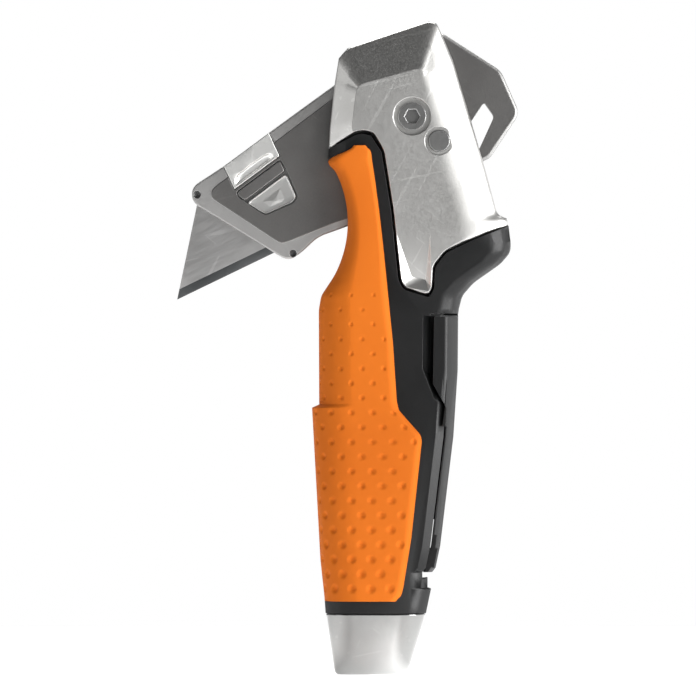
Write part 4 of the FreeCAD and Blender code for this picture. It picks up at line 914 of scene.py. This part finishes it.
# share of the outline and depth: frame, sunk field, pyramid
pad_steps = [(0.965, PAD_BACK), (0.965, 3.33), (0.95, 3.43), (0.915, 3.43), (0.885, 3.26),
             (0.44, 3.22), (0.12, 3.42), (0.08, 3.43)]
pad_loop = eased_loop(PUSH_PAD, 0.7, 5, 3)
pad_rings = stacked(FRONT, *[(shrunk(pad_loop, share), depth) for share, depth in pad_steps])
pad = ring_piece("push_pad_face", eased_rings(pad_rings, [0.08] * (len(pad_rings) - 2), 3))
fitted(smoothed(pad, 20.0, True), "release", "pad_metal", PAD, "release_button")
bar_loop = drawn_in(eased_loop(BAR, 0.9, 7, 3), 0.1)
bar_rings = stacked(FRONT, (bar_loop, PAD_BACK), (bar_loop, 3.28), (drawn_in(bar_loop, 0.12), 3.4),
                    (drawn_in(bar_loop, 0.2), 3.4))
bar = ring_piece("release_bar", eased_rings(bar_rings, [0.05, 0.05], 3))
fitted(smoothed(bar, 25.0, True), "release", "pad_metal", BAR_METAL)

# %% [markdown]
# ## The blade and its rivets
# A trapezoid blade is ground from both sides to its edge. A flat box would have no edge
# at all, so the section is worked out across the width: nothing at the edge, full
# thickness where the grind ends, and full from there on.

# %% Blade
TIP = np.array([-48.7, 93.6])
LONG, WIDE, HALF, GRIND = 61.0, 19.0, 0.3, 2.1
SLOPE = WIDE / math.tan(math.radians(52.4))
RUN_POINTS = 24  # along each face of the blade


def blade_piece(name, *nodes):
    """Rings across the width v: each is the long flat rectangle of the section, whose
    ends move in by the trapezoid's slope and whose thickness grows over the grind."""
    width = np.array([0.0, 0.5, GRIND, 6.0, 12.0, WIDE - 0.1, WIDE])
    half = np.array([0.012, 0.10, HALF, HALF, HALF, HALF, HALF - 0.08])
    near, far = SLOPE * width / WIDE, LONG - SLOPE * width / WIDE
    along = np.linspace(0, 1, RUN_POINTS)
    top_run = near[:, None] + (far - near)[:, None] * along[None, :]
    run = np.concatenate([top_run, top_run[:, ::-1]], axis=1)
    thick = np.repeat(half[:, None], RUN_POINTS, 1)
    thick = np.concatenate([thick, -thick], axis=1)
    across = np.broadcast_to(width[:, None], run.shape)
    x = TIP[0] + run * math.cos(BLADE_LEAN) - across * math.sin(BLADE_LEAN)
    z = TIP[1] + run * math.sin(BLADE_LEAN) + across * math.cos(BLADE_LEAN)
    piece = ring_piece(name, np.stack([x, thick, z], axis=-1))
    ground_rows = int(np.sum(width < GRIND))
    two_finishes(piece, BLADE, GROUND, slice(0, ground_rows * 2 * RUN_POINTS))
    return fitted(smoothed(piece, 12.0), "carrier", "blade_steel", None, *nodes)


blade_piece("blade_ground", "blade")

# %% Rivets


def rivet_piece(name, node):
    """A short pin with dished ends, sunk a little below the plates."""
    centre = centre_of(node)
    end = [(0.35, 2.55), (0.6, 2.85), (0.88, 2.95), (0.92, 2.7)]
    steps = [(radius, -depth) for radius, depth in end] + end[::-1]
    rings = stacked(FRONT, *[(circle(centre, radius, 28), depth) for radius, depth in steps])
    return fitted(smoothed(ring_piece(name, rings), 40.0), "carrier", "fastener_steel", DARK_STEEL, node)


rivet_piece("nose_rivet_pin", "nose_rivet")
rivet_piece("heel_rivet_pin", "lower_rivet")

# %% [markdown]
# ## Floor, light and camera
# A product like this is shot on a pale table with one broad light from the right, a
# weaker one from the left and little from above, which is what makes the top facet dark
# and the back of the head bright. Panels round the object would do it, but a world whose
# brightness depends on direction gives the same soft reflections with fewer lamps.

# %% Table


def table_sheet(name, radius=0.5, lift=0.0002):
    """A round sheet: rings of points whose distance grows evenly from the middle."""
    rounds, spokes = 12, 96
    angle = np.linspace(0, 2 * math.pi, spokes, endpoint=False)[None, :]
    distance = np.linspace(0.02, 1, rounds)[:, None] * radius
    x, y = distance * np.cos(angle), distance * np.sin(angle)
    points = np.stack([x, y, np.full(x.shape, -lift)], axis=-1)
    faces = wall_faces(rounds, spokes)[:, ::-1].tolist() + [list(range(spokes))]
    mesh = bpy.data.meshes.new(name)
    mesh.from_pydata(points.reshape(-1, 3).tolist(), [], faces)
    return linked(name, mesh)


# The table glows near the cap's foot in soft bands, darkest a little left of the middle
# and brightest just right of it, though it is no lamp: a painted reflection, which the
# polished cap mirrors.
GLOW_NEAR, GLOW_FAR, BAND_HALF = 2.2, 0.45, 0.05  # strengths, and half the bands' width in metres
GLOW_SCALE = 9.0  # the bands fade out at one ninth of a metre
GLOW_BANDS = [(0.0, 0.45), (0.34, 0.0), (0.5, 0.45), (0.59, 1.2), (0.68, 0.4)]
GLOWING_TABLE = bpy.data.materials.new("pale_table_painted_glow")
GLOWING_TABLE.use_nodes = True
glowing_table_shader = GLOWING_TABLE.node_tree.nodes["Principled BSDF"]
sheet_tree = GLOWING_TABLE.node_tree
nearness = sheet_tree.nodes.new("ShaderNodeTexGradient")
nearness.gradient_type = "SPHERICAL"
shrink = sheet_tree.nodes.new("ShaderNodeMapping")
split = sheet_tree.nodes.new("ShaderNodeSeparateXYZ")
where = sheet_tree.nodes.new("ShaderNodeTexCoord").outputs["Object"]
feed(sheet_tree, shrink, {"Vector": where, "Scale": [GLOW_SCALE] * 3})
feed(sheet_tree, split, {"Vector": where})
feed(sheet_tree, nearness, {"Vector": shrink.outputs["Vector"]})
bands = ramp(sheet_tree, mapped(sheet_tree, split.outputs["X"], -BAND_HALF, BAND_HALF), GLOW_BANDS)
glow = sums(sheet_tree, "MULTIPLY", bands, nearness.outputs["Fac"])
glow = sums(sheet_tree, "MULTIPLY_ADD", glow, GLOW_NEAR, GLOW_FAR)
# The emission is the painted reflection: glowing bands on the pale table near the cap's foot.
feed(sheet_tree, glowing_table_shader, {"Base Color": (0.90, 0.90, 0.90), "Roughness": 0.9,
                         "Emission Color": (1, 1, 1), "Emission Strength": glow})
table = table_sheet("studio_table")
table.data.materials.append(GLOWING_TABLE)
print("table corners:", len(table.data.vertices))

# %% Lights


def softbox(name, place, target, size, power):
    """A square area light that looks at the target."""
    lamp = bpy.data.lights.new(name, "AREA")
    lamp.shape, lamp.size, lamp.energy = "SQUARE", size, power
    box = linked(name, lamp)
    box.location = place
    box.rotation_euler = (Vector(target) - Vector(place)).to_track_quat("-Z", "Y").to_euler()
    return box


middle = (-0.004, 0.0, 0.085)
softbox("right_box", (0.60, -0.34, 0.14), middle, 0.45, 6.5)
softbox("left_box", (-0.60, -0.40, 0.10), middle, 0.5, 0.7)
softbox("table_light", (0.0, 0.25, 0.70), (0.0, 0.1, 0.0), 0.5, 5.0)
print("lamps:", len(bpy.data.lights))

# %% World
world = bpy.data.worlds.new("studio")
bpy.context.scene.world = world
world.use_nodes = True
tree = world.node_tree
parts = tree.nodes.new("ShaderNodeSeparateXYZ")
feed(tree, parts, {"Vector": tree.nodes.new("ShaderNodeTexCoord").outputs["Generated"]})


def tone_along(axis, stops):
    """Grey that changes with one component of the direction, from -1 to 1."""
    return ramp(tree, mapped(tree, parts.outputs[axis], -1.0, 1.0), stops)


side_tone = tone_along("X", [(0.0, 0.34), (0.3, 0.17), (0.54, 0.15), (0.66, 0.5), (0.85, 0.9)])
height_tone = tone_along("Z", [(0.0, 1.0), (0.56, 1.0), (0.70, 0.2), (1.0, 0.15)])
lighting, backdrop = tree.nodes["Background"], tree.nodes.new("ShaderNodeBackground")
both = between(tree, 1.0, side_tone, height_tone, "MULTIPLY")
feed(tree, lighting, {"Color": both, "Strength": 2.0})
feed(tree, backdrop, {"Color": (1, 1, 1)})
choice = tree.nodes.new("ShaderNodeMixShader")
seen = tree.nodes.new("ShaderNodeLightPath").outputs["Is Camera Ray"]
feed(tree, choice, {0: seen, 1: lighting.outputs[0], 2: backdrop.outputs[0]})
feed(tree, tree.nodes["World Output"], {"Surface": choice.outputs["Shader"]})
print("world nodes:", len(tree.nodes))

# %% Camera
LENS, SENSOR = 600.0, 36.0
VIEW_WIDTH = 174.0 * MM
VIEW_CENTRE = (-6.0 * MM, 81.5 * MM)
lens = bpy.data.cameras.new("camera")
lens.lens, lens.sensor_width, lens.clip_end = LENS, SENSOR, 20.0
camera = linked("camera", lens)
camera.location = (VIEW_CENTRE[0], -VIEW_WIDTH * LENS / SENSOR, VIEW_CENTRE[1])
camera.rotation_euler = (math.pi / 2, 0, 0)
bpy.context.scene.camera = camera
bpy.context.scene.view_settings.view_transform = "Standard"
print("view width in mm:", VIEW_WIDTH / MM)
